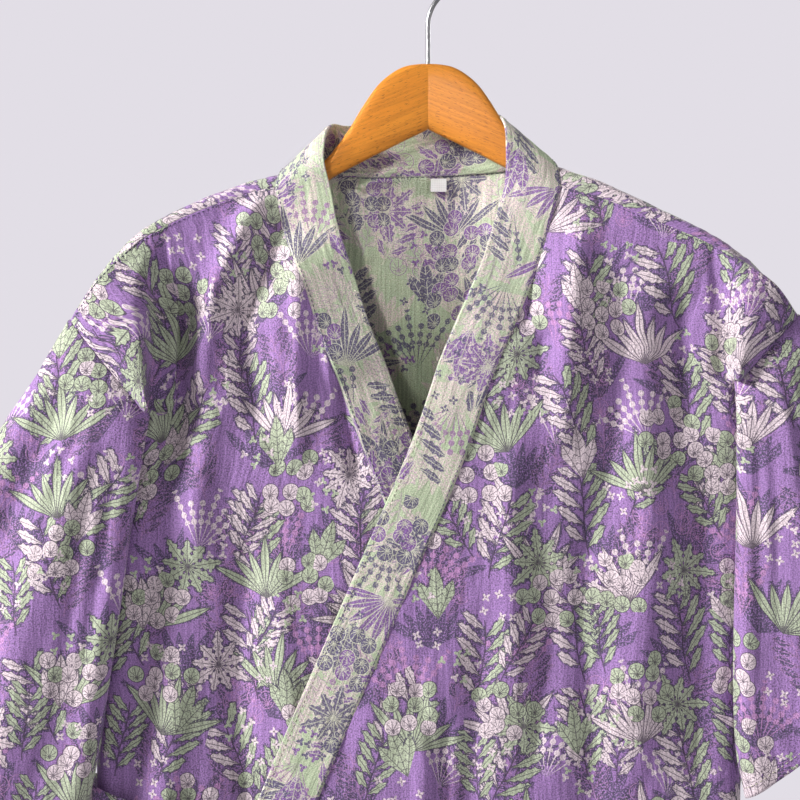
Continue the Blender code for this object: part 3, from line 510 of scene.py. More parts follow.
def over_ridge(side, front, back):
    """The back's rows over the shoulder, from the seam in front of the ridge."""
    columns = len(back)
    seam = respread(front, FRONT_CORNER_STEPS, BACK_CORNER_STEPS)
    foot_out = abs(seam[INNER_STEPS][0] - CENTRE_X)
    end_out = abs(seam[-1][0] - CENTRE_X)
    rows = [seam]
    for angle in RIDGE_ANGLES:
        turn = math.radians(angle)
        line = []
        for index in range(columns):
            x = seam[index][0]
            out = abs(x - CENTRE_X)
            outer = smooth((out - foot_out) / (end_out - foot_out))
            depth = float(ridge_depth(out, side))
            height = float(ridge_height(max(out, SHOULDER_OUT), side))
            radius = RIDGE_RADIUS * (1 - outer) + RIDGE_END_RADIUS * outer
            depth += radius * math.sin(turn)
            height -= radius * (1 - math.cos(turn))
            line.append(np.array((x, depth, height)))
        rows.append(line)
    for place in range(1, RIDGE_ROWS):
        rows[place][-1] = ring_point(side, 0, 2 * RING_FRONT_STEPS + RIDGE_ROWS - place)
    return rows


def neck_point(index, side):
    """A point of the back neck seam on one side; the neck hangs a little lower on the wearer's right."""
    out = side * NECK["out"][index]
    tilt = SEAM_TILT * out if index else 0.0
    return np.array((CENTRE_X + out, NECK["depth"][index], NECK["height"][index] + tilt))


def neck_free_point(index, side):
    """The collar's free edge above a point of the neck seam."""
    out = side * NECK["free_out"][index]
    height = NECK["free_height"][index] + FREE_TILT * out
    return np.array((CENTRE_X + FREE_SHIFT + out, NECK["free_depth"][index], height))


def back_grid(right_front, left_front):
    """The back's points: over the shoulders, then row by row to the hem."""
    rows = []
    halves = {}
    for side, front in ((-1, right_front), (1, left_front)):
        lower = [back_half_row(side, row) for row in range(ROW_COUNT)]
        halves[side] = over_ridge(side, front[0], lower[0]) + lower
    half_steps = len(NECK["out"]) - 1
    for row in range(ROW_COUNT + RIDGE_ROWS):
        right = halves[-1][row][::-1]
        left = halves[1][row]
        middle = []
        for side, order in ((-1, range(1, half_steps + 1)), (1, range(half_steps - 1, 0, -1))):
            for index in order:
                out = NECK["out"][index]
                outermost = abs(halves[side][RIDGE_ROWS][0][0] - CENTRE_X)
                even = outermost * (1 - index / half_steps)
                ease = min(max(row - RIDGE_ROWS - 1, 0) / 5.0, 1.0)
                x = CENTRE_X + side * (out * outermost / NECK["out"][0] * (1 - ease) + even * ease)
                if row <= RIDGE_ROWS:
                    height = ROWS["centre"][0] - 1.0
                    low = np.array((x, back_depth(x, height), height))
                    upper = neck_point(index, side)
                    share = row / RIDGE_ROWS
                    point = upper * (1 - share) + low * share
                    point[1:] += NECK_SWELL * math.sin(math.pi * share)
                    point[0] = x
                else:
                    height = ROWS["centre"][row - RIDGE_ROWS]
                    point = np.array((x, back_depth(x, height), height))
                middle.append(point)
        rows.append(right + middle + left)
    return np.array(rows)


def collar_sections(right_front, left_front, back):
    """Seam, middle and free edge of the collar band, from one hem round the neck to the other."""
    sections = []
    for side, front in ((-1, right_front), (1, left_front)):
        seam = front[:, 0]
        path = np.gradient(seam[:, [0, 2]], axis=0)
        path /= np.linalg.norm(path, axis=1)[:, None]
        part = []
        for row, point in enumerate(seam):
            across = np.array((-side * abs(path[row][1]), 0.0, -side * path[row][0]))
            across[2] = abs(path[row][0])
            free = point + across * COLLAR_WIDTH
            if side < 0:
                tilt = smooth((UNDER_BAND_TOP - point[2]) / UNDER_BAND_EASE)
                tilt *= 1 - smooth((UNDER_BAND_FOOT - point[2]) / UNDER_BAND_EASE)
                free = point + across * (COLLAR_WIDTH - UNDER_BAND_NARROW * tilt)
                free[1] += UNDER_BAND_TILT * tilt
            free[1] += front_depth(free[0], free[2]) - front_depth(point[0], point[2])
            if row == 0:
                free = neck_free_point(0, side)
            part.append((point, free))
        sections.append(part)
    neck = []
    half_steps = len(NECK["out"]) - 1
    first = INNER_STEPS + BACK_CORNER_STEPS + 1
    for step in range(2 * half_steps - 1):
        index = step + 1 if step < half_steps else 2 * half_steps - 1 - step
        side = -1 if step < half_steps else 1
        neck.append((back[0][first + step], neck_free_point(index, side)))
    ordered = sections[0][::-1] + neck + sections[1]
    return np.array([(seam, seam * 0.5 + free * 0.5, free) for seam, free in ordered])


def sleeve_grid(side):
    rings = len(SLEEVE["half"])
    steps = 2 * RING_FRONT_STEPS + RIDGE_ROWS
    return np.array([[ring_point(side, ring, step) for step in range(steps)] for ring in range(rings)])


def belt_layer(x, height):
    """Depth just in front of both fronts, where the belt lies."""
    out = abs(x - CENTRE_X)
    lap = 1 - smooth((out - LAP_OUT_START) / (LAP_OUT_END - LAP_OUT_START))
    return front_depth(x, height) - LAP_DEPTH * lap - BELT_CLEAR


def belt_ring(share):
    """The belt's outer line round the waist, at a share of its width below its upper edge."""
    feet = {}
    for side in (-1, 1):
        name = side_name(side)
        top = float(curve(BELT, "x", "top", side * BELT_REACH))
        height = top - share * BELT_WIDTH
        side_out = float(curve(SIDE, "height", name, height)) + BELT_CLEAR
        feet[side] = (side_out, height)

    def front_point(x):
        height = float(curve(BELT, "x", "top", x)) - share * BELT_WIDTH
        return np.array((x, belt_layer(x, height) - BELT_CLOTH, height))

    def corner(side, at_back):
        side_out, height = feet[side]
        side_depth = float(curve(SIDE, "height", "depth", height))
        foot_out = side_out - (BELT_BACK_TURN if at_back else BELT_FRONT_TURN)
        foot_x = CENTRE_X + side * foot_out
        if at_back:
            foot_depth = back_depth(foot_x, height) + BELT_CLEAR_BACK + BELT_CLOTH
        else:
            foot_depth = front_point(foot_x)[1]
        found = []
        for step in range(BELT_CORNER_STEPS + 1):
            turn = math.pi / 2 * step / BELT_CORNER_STEPS
            out = foot_out + (side_out + BELT_CLOTH - foot_out) * math.sin(turn)
            depth = side_depth + (foot_depth - side_depth) * math.cos(turn)
            x = CENTRE_X + side * out
            level = float(curve(BELT, "x", "top", x)) - share * BELT_WIDTH
            found.append(np.array((x, depth, level)))
        return found

    right_front = corner(-1, False)
    left_front = corner(1, False)
    right_back = corner(-1, True)
    left_back = corner(1, True)
    points = right_front[::-1]
    start = right_front[0][0]
    end = left_front[0][0]
    for step in range(1, BELT_HALF_STEPS * 2):
        points.append(front_point(start + (end - start) * step / (BELT_HALF_STEPS * 2)))
    points += left_front
    points += left_back[::-1][1:]
    start = left_back[0][0]
    end = right_back[0][0]
    for step in range(1, BELT_HALF_STEPS):
        x = start + (end - start) * step / BELT_HALF_STEPS
        level = left_back[0][2] + (right_back[0][2] - left_back[0][2]) * step / BELT_HALF_STEPS
        points.append(np.array((x, back_depth(x, level) + BELT_CLEAR_BACK + BELT_CLOTH, level)))
    points += right_back[:-1]
    return points


def hook_path():
    """Middle line of the hook wire: straight foot, bend and round loop."""
    heights = (HOOK_FOOT, *HOOK_STRAIGHT_MIDDLES, HOOK_STRAIGHT_TOP)
    points = [np.array((0.0, 0.0, height)) for height in heights]
    join = math.radians(HOOK_JOIN)
    end = np.array((HOOK_LOOP * math.cos(join), 0.0, HOOK_LOOP_HEIGHT + HOOK_LOOP * math.sin(join)))
    rise = end[2] - HOOK_STRAIGHT_TOP
    lean = -math.tan(join) * rise
    for share in np.linspace(0, 1, HOOK_BEND_STEPS + 1)[1:]:
        across = end[0] * (3 * share**2 - 2 * share**3) + lean * (share**3 - share**2)
        points.append(np.array((across, 0.0, HOOK_STRAIGHT_TOP + rise * share)))
    for angle in np.linspace(HOOK_JOIN, HOOK_END, HOOK_LOOP_STEPS + 1)[1:]:
        turn = math.radians(angle)
        height = HOOK_LOOP_HEIGHT + HOOK_LOOP * math.sin(turn)
        points.append(np.array((HOOK_LOOP * math.cos(turn), 0.0, height)))
    return np.array(points)


def arm_section(x):
    """Cross-section of the hanger's body at a place along it."""
    out = abs(x)
    top = float(curve(HANGER, "out", "top", out))
    bottom = float(curve(HANGER, "out", "bottom", out))
    half = float(curve(HANGER, "out", "thick", out)) / 2
    points = []
    for step in range(ARM_SECTION_STEPS):
        turn = 2 * math.pi * (step + 0.5) / ARM_SECTION_STEPS
        lean = math.cos(turn)
        rise = math.sin(turn)
        depth = half * math.copysign(abs(lean) ** ARM_EDGE_ROUND, lean)
        height = (top + bottom) / 2
        height += (top - bottom) / 2 * math.copysign(abs(rise) ** ARM_EDGE_ROUND, rise)
        points.append(np.array((x, depth - ARM_SWEEP * out, height)))
    return points


# Folds set on the fronts, from top to foot: half width, rise (below 0 a trough) and sideways sway.
FRONT_FOLDS = table(
    "top_x top foot_x foot half rise sway",
    (-178, -238, -188, -410, 15, -14.0, 2),
    (-200, -420, -214, -640, 16, -6.0, 2),
    (-120, -176, -160, -266, 10, 6.5, 1),
    (-157, -246, -172, -352, 10, 6.5, 1),
    (-112, -196, -140, -306, 9, -7.0, 1),
    (-98, -212, -95, -402, 8, 5.5, 1),
    (-108, -256, -112, -360, 7, 3.0, 1),
    (-133, -280, -126, -372, 12, -7.0, 2),
    (-78, -296, -66, -352, 3.5, 2.2, 0),
    (-72, -312, -47, -410, 7, -6.0, 1),
    (-166, -330, -168, -470, 13, 6.0, 3),
    (-138, -420, -134, -700, 15, -7.0, 4),
    (-108, -440, -100, -640, 10, 3.0, 3),
    (-186, -480, -196, -900, 14, 5.0, 4),
    (-62, -470, -56, -620, 8, -2.4, 3),
    (86, -184, 68, -300, 10, -7.5, 1),
    (113, -186, 94, -400, 11, 5.5, 2),
    (83, -286, 80, -330, 7, -3.0, 1),
    (142, -226, 130, -450, 13, -5.0, 2),
    (188, -248, 182, -380, 15, -9.0, 3),
    (158, -320, 152, -640, 17, 6.0, 4),
    (196, -372, 199, -660, 9, -4.0, 2),
    (118, -380, 114, -700, 13, -5.0, 4),
    (66, -340, 54, -580, 12, 4.5, 4),
    (84, -420, 80, -640, 9, -3.5, 4),
    (-10, -536, 6, -610, 6, -4.0, 1),
    (10, -560, 12, -680, 5, -3.2, 1),
    (-2, -520, -8, -700, 8, 3.0, 2),
    (34, -480, 32, -760, 11, -4.5, 4),
    (100, -640, 96, -1250, 22, -6.0, 8),
    (160, -600, 172, -1250, 26, 8.0, 8),
    (40, -660, 34, -1250, 24, 7.0, 8),
    (-30, -640, -36, -1250, 22, -6.0, 8),
    (-100, -680, -104, -1250, 26, 8.0, 8),
    (-170, -760, -176, -1250, 22, -6.0, 8),
    (215, -760, 226, -1250, 16, -5.0, 4),
)
BACK_FOLDS = table(
    "top_x top foot_x foot half rise sway",
    (-6, -215, -2, -1250, 24, -6.0, 6),
    (-70, -260, -84, -1250, 24, 6.0, 6),
    (62, -250, 78, -1250, 26, 6.0, 6),
    (-135, -290, -150, -1250, 20, -5.0, 6),
    (128, -280, 146, -1250, 22, -5.0, 6),
    (-180, -420, -200, -1250, 18, 5.0, 6),
    (178, -400, 202, -1250, 18, 5.0, 6),
    (-34, -178, -40, -240, 6, 1.6, 1),
    (-12, -174, -14, -226, 5, -1.4, 1),
    (14, -176, 18, -232, 6, 1.5, 1),
    (44, -178, 50, -246, 6, -1.5, 1),
    (96, -200, 110, -380, 10, 3.0, 3),
    (-100, -200, -116, -380, 10, 3.0, 3),
    (30, -560, 44, -900, 10, 3.0, 6),
    (-110, -520, -120, -860, 10, -3.0, 6),
)

# Folds along the sleeves: place round from the shoulder (0) to the underarm (1), and where along the sleeve.
SLEEVE_FOLDS = table(
    "front_place top foot half rise drift",
    (0.16, 0.02, 1.0, 0.060, 1.8, 0.05),
    (0.30, 0.05, 1.0, 0.075, -3.4, 0.03),
    (0.44, 0.00, 0.7, 0.050, 2.0, 0.06),
    (0.58, 0.00, 1.0, 0.080, 3.8, -0.02),
    (0.72, 0.15, 1.0, 0.045, -2.2, 0.04),
    (0.84, 0.05, 1.0, 0.060, -2.6, 0.00),
    (0.92, 0.25, 1.0, 0.035, 1.8, 0.00),
)
SLEEVE_STEP = 2.6
FINE_STEP = 2.5
COARSE_STEP = 7.0
CORNER_STEP = 1.1
FINE_FOOT = -655.0
SEAM_FADE = 9.0
CRINKLE = 0.42
BAND_OVERLAP = 1.3
BAND_RAISE = 0.7
SEED = 11

# How many points the belt's ends have down and across, and the knot's loop and its turn along and around.
END_POINTS = (96, 17)
LOOP_POINTS = (57, 72)
TURN_POINTS = (64, 20)
HOOK_POINTS = 24
STITCH_SIDES = 5
STITCH_THICK = 0.55
# How far the cloths run on under the pieces that they are sewn to.
FRONT_TOP_TUCK = 1.8
FRONT_SEAM_TUCK = 2.0
BACK_TUCK = 1.6
SLEEVE_SEAM_TUCK = 1.8


# Shaping of the fine cloth


def chords(grid, axis):
    """Mean distance along one direction of a grid, from its first line."""
    steps = np.linalg.norm(np.diff(grid, axis=axis), axis=2)
    return np.concatenate([[0.0], np.cumsum(steps.mean(axis=1 - axis))])


def line_keys(line):
    """Distance to each point of a line from its start."""
    return np.concatenate([[0.0], np.cumsum(np.linalg.norm(np.diff(line, axis=0), axis=1))])


def through(points, keys, places):
    """Smooth curves through lines of points, the first axis of which stands at the keys."""
    slopes = np.gradient(points, keys, axis=0)
    index = np.clip(np.searchsorted(keys, places) - 1, 0, len(keys) - 2)
    step = (keys[index + 1] - keys[index])[:, None, None]
    share = (places[:, None, None] - keys[index][:, None, None]) / step
    return between(points, slopes, index, step, share)


def spread(*stretches):
    """Places in even steps over each stretch, given as start, end and longest step."""
    found = [stretches[0][0]]
    for start, end, step in stretches:
        count = max(1, math.ceil((end - start) / step))
        found.extend(start + (end - start) * n / count for n in range(1, count + 1))
    return np.array(found)


def refined(grid, rows, columns):
    """The fine grid at the given places down and across."""
    down = through(grid, chords(grid, 0), rows)
    turned = through(down.transpose(1, 0, 2), chords(grid, 1), columns)
    return turned.transpose(1, 0, 2)


def widened(rings):
    """Closed rings with their neighbouring columns repeated at both ends, and the distance to each column."""
    wide = np.concatenate([rings[:, -2:], rings, rings[:, :3]], axis=1)
    return wide, chords(wide, 1)


def closed(wide, down, keys, rows, columns):
    """The fine grid through widened rings, its last column the first one again."""
    turned = through(through(wide, down, rows).transpose(1, 0, 2), keys, columns)
    grid = turned.transpose(1, 0, 2)
    grid[:, -1] = grid[:, 0]
    return grid


def normals_of(grid, flip):
    found = np.cross(np.gradient(grid, axis=0), np.gradient(grid, axis=1)) * flip
    return found / np.maximum(np.linalg.norm(found, axis=2), 1e-9)[:, :, None]


def fold_lift(folds, x, z):
    """How far a table of folds lifts the cloth: ridges are round and troughs a little sharper."""
    total = np.zeros_like(x)
    for top_x, top, foot_x, foot, half, rise, sway in zip(*folds.values()):
        share = (top - z) / (top - foot)
        to_hem = foot <= ROWS["centre"][-1]
        fade = smooth(share / 0.22) * (1.0 if to_hem else smooth((1 - share) / 0.3))
        middle = top_x + (foot_x - top_x) * share + sway * np.sin(z / 38.0 + top_x)
        power = 2.0 if rise > 0 else 1.6
        total += rise * fade * np.exp(-((np.abs(x - middle) / half) ** power))
    return total


def crinkle(across, down, cell_across, cell_down, seed):
    """Smooth uneven ripples between -1 and 1, longer down the cloth than across it."""
    values = np.random.default_rng(seed).uniform(-1, 1, (97, 97))
    a = across / cell_across + 40.0
    d = down / cell_down + 40.0
    column = np.floor(a).astype(int)
    row = np.floor(d).astype(int)
    right = smooth(a - column)
    low = smooth(d - row)
    corners = [values[(row + n) % 97, (column + m) % 97] for n in (0, 1) for m in (0, 1)]
    upper = corners[0] * (1 - right) + corners[1] * right
    lower = corners[2] * (1 - right) + corners[3] * right
    return upper * (1 - low) + lower * low


def arc(grid, axis):
    """Distance along each line of a grid from its start."""
    steps = np.linalg.norm(np.diff(grid, axis=axis), axis=2)
    lead = np.zeros_like(steps[:1] if axis == 0 else steps[:, :1])
    return np.cumsum(np.concatenate([lead, steps], axis=axis), axis=axis)


def edge_fade(grid, top=True, first=True, last=True, reach=SEAM_FADE):
    """Nought at a panel's seams and one inside them."""
    down = arc(grid, 0)
    across = arc(grid, 1)
    fade = np.ones(grid.shape[:2])
    if top:
        fade = fade * smooth(down / reach)
    if first:
        fade = fade * smooth(across / reach)
    if last:
        fade = fade * smooth((across[:, -1:] - across) / reach)
    return fade


# Meshes


def mesh_object(name, points, faces, corners, places, spots, materials):
    """A mesh from points in millimetres, with a place on the cloth for each face corner."""
    mesh = bpy.data.meshes.new(name)
    mesh.from_pydata((np.asarray(points) * MM).tolist(), [], faces)
    layer = mesh.uv_layers.new(name="Cloth")
    layer.data.foreach_set("uv", (np.asarray(places) * MM)[corners].astype(np.float32).ravel())
    for material in materials:
        mesh.materials.append(material)
    mesh.polygons.foreach_set("material_index", np.asarray(spots, np.int32))
    mesh.polygons.foreach_set("use_smooth", np.ones(len(faces), bool))
    mesh.update()
    piece = bpy.data.objects.new(name, mesh)
    bpy.context.scene.collection.objects.link(piece)
    return piece


def shell(name, outer, places, thick, flip, materials, around=False):
    """A thin closed cloth over a grid of outer points, its face and its reverse in the two finishes.

    Around means that the last column is the first one again, after a full turn.
    """
    inner = outer - normals_around(outer, flip, around) * thick
    rows, columns = outer.shape[:2]
    count = rows * columns
    index = np.arange(count).reshape(rows, columns)
    own = index.copy()
    if around:
        own[:, -1] = own[:, 0]
    own = np.concatenate([own.ravel(), own.ravel() + count])
    a, b, c, d = index[:-1, :-1], index[1:, :-1], index[1:, 1:], index[:-1, 1:]
    face = np.stack([a, b, c, d], axis=2).reshape(-1, 4)
    edges = [index[0], index[-1][::-1]]
    if not around:
        edges += [index[::-1, 0], index[:, -1]]
    faces = [face, face[:, ::-1] + count]
    spots = [np.zeros(len(face)), np.ones(len(face))]
    for line in edges:
        faces.append(np.stack([line[:-1], line[1:], line[1:] + count, line[:-1] + count], axis=1))
        spots.append(np.zeros(len(line) - 1))
    faces = np.concatenate(faces)
    if flip < 0:
        faces = faces[:, ::-1]
    points = np.concatenate([outer.reshape(-1, 3), inner.reshape(-1, 3)])
    places = np.concatenate([places.reshape(-1, 2)] * 2)
    used = np.unique(own[faces])
    number = np.zeros(len(points), int)
    number[used] = np.arange(len(used))
    spots = np.concatenate(spots)
    kept = number[own[faces]].tolist()
    return mesh_object(name, points[used], kept, faces.ravel(), places, spots, materials)


def normals_around(grid, flip, around):
    """Normals of a grid whose first and last columns may be the same line."""
    if not around:
        return normals_of(grid, flip)
    wide = np.concatenate([grid[:, -2:-1], grid, grid[:, 1:2]], axis=1)
    return normals_of(wide, flip)[:, 1:-1]


def tube(name, rings, places, material):
    """A closed skin through rings of points, with flat ends."""
    count, steps = rings.shape[:2]
    index = np.arange(count * steps).reshape(count, steps)
    after = np.roll(index, -1, axis=1)
    faces = np.stack([index[:-1], after[:-1], after[1:], index[1:]], axis=2).reshape(-1, 4).tolist()
    faces.append(index[0][::-1].tolist())
    faces.append(index[-1].tolist())
    corners = np.concatenate(faces)
    places = places.reshape(-1, 2)
    piece = mesh_object(name, rings.reshape(-1, 3), faces, corners, places, np.zeros(len(faces)), [material])
    tidy_normals(piece)
    return piece


def tidy_normals(piece):
    work = bmesh.new()
    work.from_mesh(piece.data)
    bmesh.ops.recalc_face_normals(work, faces=work.faces)
    work.to_mesh(piece.data)
    work.free()


# Share of a stitch's thickness, and its height, at its four rings: its ends dip into the cloth.
STITCH_RINGS = ((0.35, -0.6), (1.0, 0.35), (1.0, 0.35), (0.35, -0.6))


def stitches(name, lines, length, gap, thick, material):
    """Rows of thread stitches along lines of points, each with the outward way at its points."""
    points = []
    faces = []
    sides = STITCH_SIDES
    for line, outward in lines:
        keys = line_keys(line)
        start = gap
        while start + length < keys[-1]:
            spots = np.array([0.0, 0.22, 0.78, 1.0]) * length + start
            centres = np.stack([np.interp(spots, keys, line[:, n]) for n in range(3)], axis=1)
            ways = np.stack([np.interp(spots, keys, outward[:, n]) for n in range(3)], axis=1)
            along = centres[-1] - centres[0]
            along = along / max(np.linalg.norm(along), 1e-9)
            base = len(points)
            for centre, way, (radius, rise) in zip(centres, ways, STITCH_RINGS):
                way = way / np.linalg.norm(way)
                side = np.cross(along, way)
                for n in range(sides):
                    turn = 2 * math.pi * n / sides
                    ring = math.cos(turn) * side * 1.15 + math.sin(turn) * way * 0.8
                    points.append(centre + way * rise * thick + ring * radius * thick / 2)
            for ring in range(3):
                for n in range(sides):
                    m = (n + 1) % sides
                    low = base + ring * sides
                    faces.append((low + n, low + m, low + sides + m, low + sides + n))
            faces.append(tuple(base + n for n in range(sides))[::-1])
            faces.append(tuple(base + 3 * sides + n for n in range(sides)))
            start += length + gap
    points = np.array(points)
    corners = np.concatenate(faces)
    piece = mesh_object(name, points, faces, corners, points[:, [0, 2]], np.zeros(len(faces)), [material])
    tidy_normals(piece)
    return piece


# Colours and finishes


def linear(hex_colour):
    """A colour from sRGB hex to the linear values that a shader takes."""
    values = [int(hex_colour[n : n + 2], 16) / 255 for n in (1, 3, 5)]
    return tuple(v / 12.92 if v <= 0.04045 else ((v + 0.055) / 1.055) ** 2.4 for v in values)


WOOD_GRAIN = linear("#C07624")
WOOD_FLECK = linear("#7A431A")

# The one setting that a row gives each kind of node.
SETTING = {
    "Math": "operation",
    "VectorMath": "operation",
    "VectorRotate": "rotation_type",
    "Mix": "data_type",
    "TexNoise": "noise_dimensions",
    "TexVoronoi": "voronoi_dimensions",
    "TexWave": "bands_direction",
    "UVMap": "uv_map",
    "Group": "node_tree",
}


def add(tree, kind, inputs=(), setting=None):
    """Adds one node with its setting, and links or sets its inputs, in order or by name."""
    node = tree.nodes.new("ShaderNode" + kind)
    if setting:
        setattr(node, SETTING[kind], setting)
    sockets = [socket for socket in node.inputs if socket.enabled]
    pairs = inputs.items() if isinstance(inputs, dict) else enumerate(inputs)
    for place, value in pairs:
        socket = next(s for s in sockets if s.name == place) if isinstance(place, str) else sockets[place]
        if isinstance(value, bpy.types.NodeSocket):
            tree.links.new(value, socket)
        elif value is not None:
            socket.default_value = (*value, 1.0) if socket.type == "RGBA" and len(value) == 3 else value
    return node


def grow(tree, known, rows, prefix=""):
    """Adds a table of nodes: a name, a kind, its setting and its inputs, by earlier name or by value.

    A row of maths has its operation in place of the kind. Names take the prefix and are looked up with it.
    """

    def found(value):
        if isinstance(value, str):
            return known[prefix + value] if prefix + value in known else known[value]
        return value

    for name, kind, *inputs in rows:
        setting = kind
        if kind.isupper():
            kind = "Math"
        else:
            setting, *inputs = inputs
        if inputs and isinstance(inputs[0], dict):
            given = {place: found(value) for place, value in inputs[0].items()}
        else:
            given = [found(value) for value in inputs]
        outputs = [socket for socket in add(tree, kind, given, setting).outputs if socket.enabled]
        known[prefix + name] = outputs[0]
        known.update({prefix + name + "." + socket.name: socket for socket in outputs})


def repeat(spacing, shift, jitter, tilt):
    """Places one motif about every spacing millimetres, each moved and turned a little."""
    return (
        ("moved", "VectorMath", "ADD", "point", (shift, shift * 0.7, 0.0)),
        ("cell", "TexVoronoi", "2D", {"Vector": "moved", "Scale": 1.0 / spacing, "Randomness": jitter}),
        ("local", "VectorMath", "SUBTRACT", "moved", "cell.Position"),
        ("chance", "SeparateColor", None, "cell.Color"),
        ("tilt", "MULTIPLY_ADD", "chance.Red", 2 * tilt, -tilt),
        ("turned", "VectorRotate", "Z_AXIS", {"Vector": "local", "Angle": "tilt"}),
        ("at", "SeparateXYZ", None, "turned"),
    )


def radius_from(name, up):
    """Distance from the motif's middle column, at the given height over its foot."""
    return (
        ("xx", "MULTIPLY", "at.X", "at.X"),
        ("rr", "MULTIPLY_ADD", up, up, "xx"),
        (name, "SQRT", "rr"),
    )


def ordered(wide, step, swing):
    """The number of the nearest leaf or rib in an even row, and the distance from its middle line."""
    return (
        ("order", "DIVIDE", wide, step),
        ("leaf", "ROUND", "order"),
        ("part", "SUBTRACT", "order", "leaf"),
        ("aside", "MULTIPLY", "part", swing),
        ("off", "ABSOLUTE", "aside"),
    )


def leaf_outline(along, half, power, notch, teeth, rib, rim):
    """Leaves that swell and end in a point, with a middle rib and a dark edge, inside the motif's bound."""
    return (
        ("share", "DIVIDE", along, "reach"),
        ("most", "MINIMUM", "share", 1.0),
        ("eased", "POWER", "most", power),
        ("bend", "MULTIPLY", "eased", math.pi),
        ("swell", "SINE", "bend"),
        ("notch", "PINGPONG", along, notch),
        ("tooth", "MULTIPLY_ADD", "notch", teeth, half),
        ("half", "MULTIPLY", "swell", "tooth"),
        ("depth", "SUBTRACT", "half", "off"),
        ("body", "GREATER_THAN", "depth", 0.0),
        ("fill", "MULTIPLY", "body", "bound"),
        ("near_rib", "LESS_THAN", "off", rib),
        ("rib", "MULTIPLY", "near_rib", "fill"),
        ("near_edge", "COMPARE", "depth", 0.0, rim),
        ("within", "LESS_THAN", "share", 0.97),
        ("rim", "MULTIPLY", "near_edge", "bound"),
        ("rim_in", "MULTIPLY", "rim", "within"),
        ("line", "MAXIMUM", "rib", "rim_in"),
    )


def leaf_fan(foot, reach, half, step, count, teeth=0.0):
    """Long pointed leaves that spread from one foot."""
    return (
        ("up", "ADD", "at.Y", foot),
        ("turn", "ARCTAN2", "at.X", "up"),
        *radius_from("far", "up"),
        ("swing", "MULTIPLY", "far", step),
        *ordered("turn", step, "swing"),
        ("number", "ABSOLUTE", "leaf"),
        ("bound", "LESS_THAN", "number", count + 0.5),
        ("wave", "MULTIPLY", "leaf", 2.1),
        ("short", "COSINE", "wave"),
        ("reach", "MULTIPLY_ADD", "short", 0.14 * reach, 0.84 * reach),
        *leaf_outline("far", half, 1.25, 2.6, teeth, 0.32, 0.34),
    )


def branch(length, reach, half, step):
    """Pointed leaflets on both sides of an upright stem, shorter towards its two ends."""
    return (
        ("sway", "MULTIPLY", "at.Y", 0.07),
        ("bow", "SINE", "sway"),
        ("across", "MULTIPLY_ADD", "bow", -2.2, "at.X"),
        ("away", "ABSOLUTE", "across"),
        ("side", "SIGN", "across"),
        ("fall", "MULTIPLY_ADD", "away", -0.85, "at.Y"),
        ("set", "MULTIPLY_ADD", "side", step / 4, "fall"),
        *ordered("set", step, step * 0.76),
        ("level", "MULTIPLY", "leaf", 2 * step / length),
        ("squared", "MULTIPLY", "level", "level"),
        ("taper", "MULTIPLY_ADD", "squared", -0.6, 1.0),
        ("bound", "LESS_THAN", "squared", 1.0),
        ("reach", "MULTIPLY", "taper", reach),
        *leaf_outline("away", half, 1.4, 2.4, 0.55, 0.3, 0.32),
        ("near_stem", "LESS_THAN", "away", 0.55),
        ("height", "ABSOLUTE", "at.Y"),
        ("in_stem", "LESS_THAN", "height", length / 2),
        ("stem", "MULTIPLY", "near_stem", "in_stem"),
        ("line", "MAXIMUM", "line", "stem"),
    )


# A band some 1.7 mm wide round the leaves, where the dark floats gather.
HALO = (
    ("near", "GREATER_THAN", "depth", -1.7),
    ("short_of", "LESS_THAN", "share", 1.05),
    ("beside", "MULTIPLY", "near", "short_of"),
    ("kept_in", "MULTIPLY", "beside", "bound"),
    ("halo", "MULTIPLY", "kept_in", "dotted"),
)
# The dark leaves behind the others are a wash of short floats.
WASH = (("wash", "MULTIPLY", "dotted", "fill"),)


def bars(gap):
    """Slanted lines across the leaves of a fan, as on an ear of grain."""
    return (
        ("slant", "MULTIPLY_ADD", "off", -0.8, "far"),
        ("rung", "PINGPONG", "slant", gap / 2),
        ("on_rung", "LESS_THAN", "rung", 0.32),
        ("barred", "MULTIPLY", "on_rung", "fill"),
        ("line", "MAXIMUM", "barred", "line"),
    )


def berries(gap, radius):
    """Round leaflets along the outer part of the stems of a fan."""
    return (
        ("rung", "PINGPONG", "far", gap / 2),
        ("oo", "MULTIPLY", "off", "off"),
        ("dd", "MULTIPLY_ADD", "rung", "rung", "oo"),
        ("dot", "LESS_THAN", "dd", radius * radius),
        ("outer", "COMPARE", "share", 0.72, 0.3),
        ("dots", "MULTIPLY", "dot", "outer"),
        ("kept", "MULTIPLY", "dots", "bound"),
        ("fill", "MAXIMUM", "kept", "fill"),
    )


def clumps(spacing, jitter, share):
    """Keeps motifs to clumps of about the given spacing."""
    return (
        (
            "clump", "TexVoronoi", "2D",
            {"Vector": "cell.Position", "Scale": 1.0 / spacing, "Randomness": jitter},
        ),
        ("bound", "LESS_THAN", "clump.Distance", share),
        *radius_from("far", "at.Y"),
    )


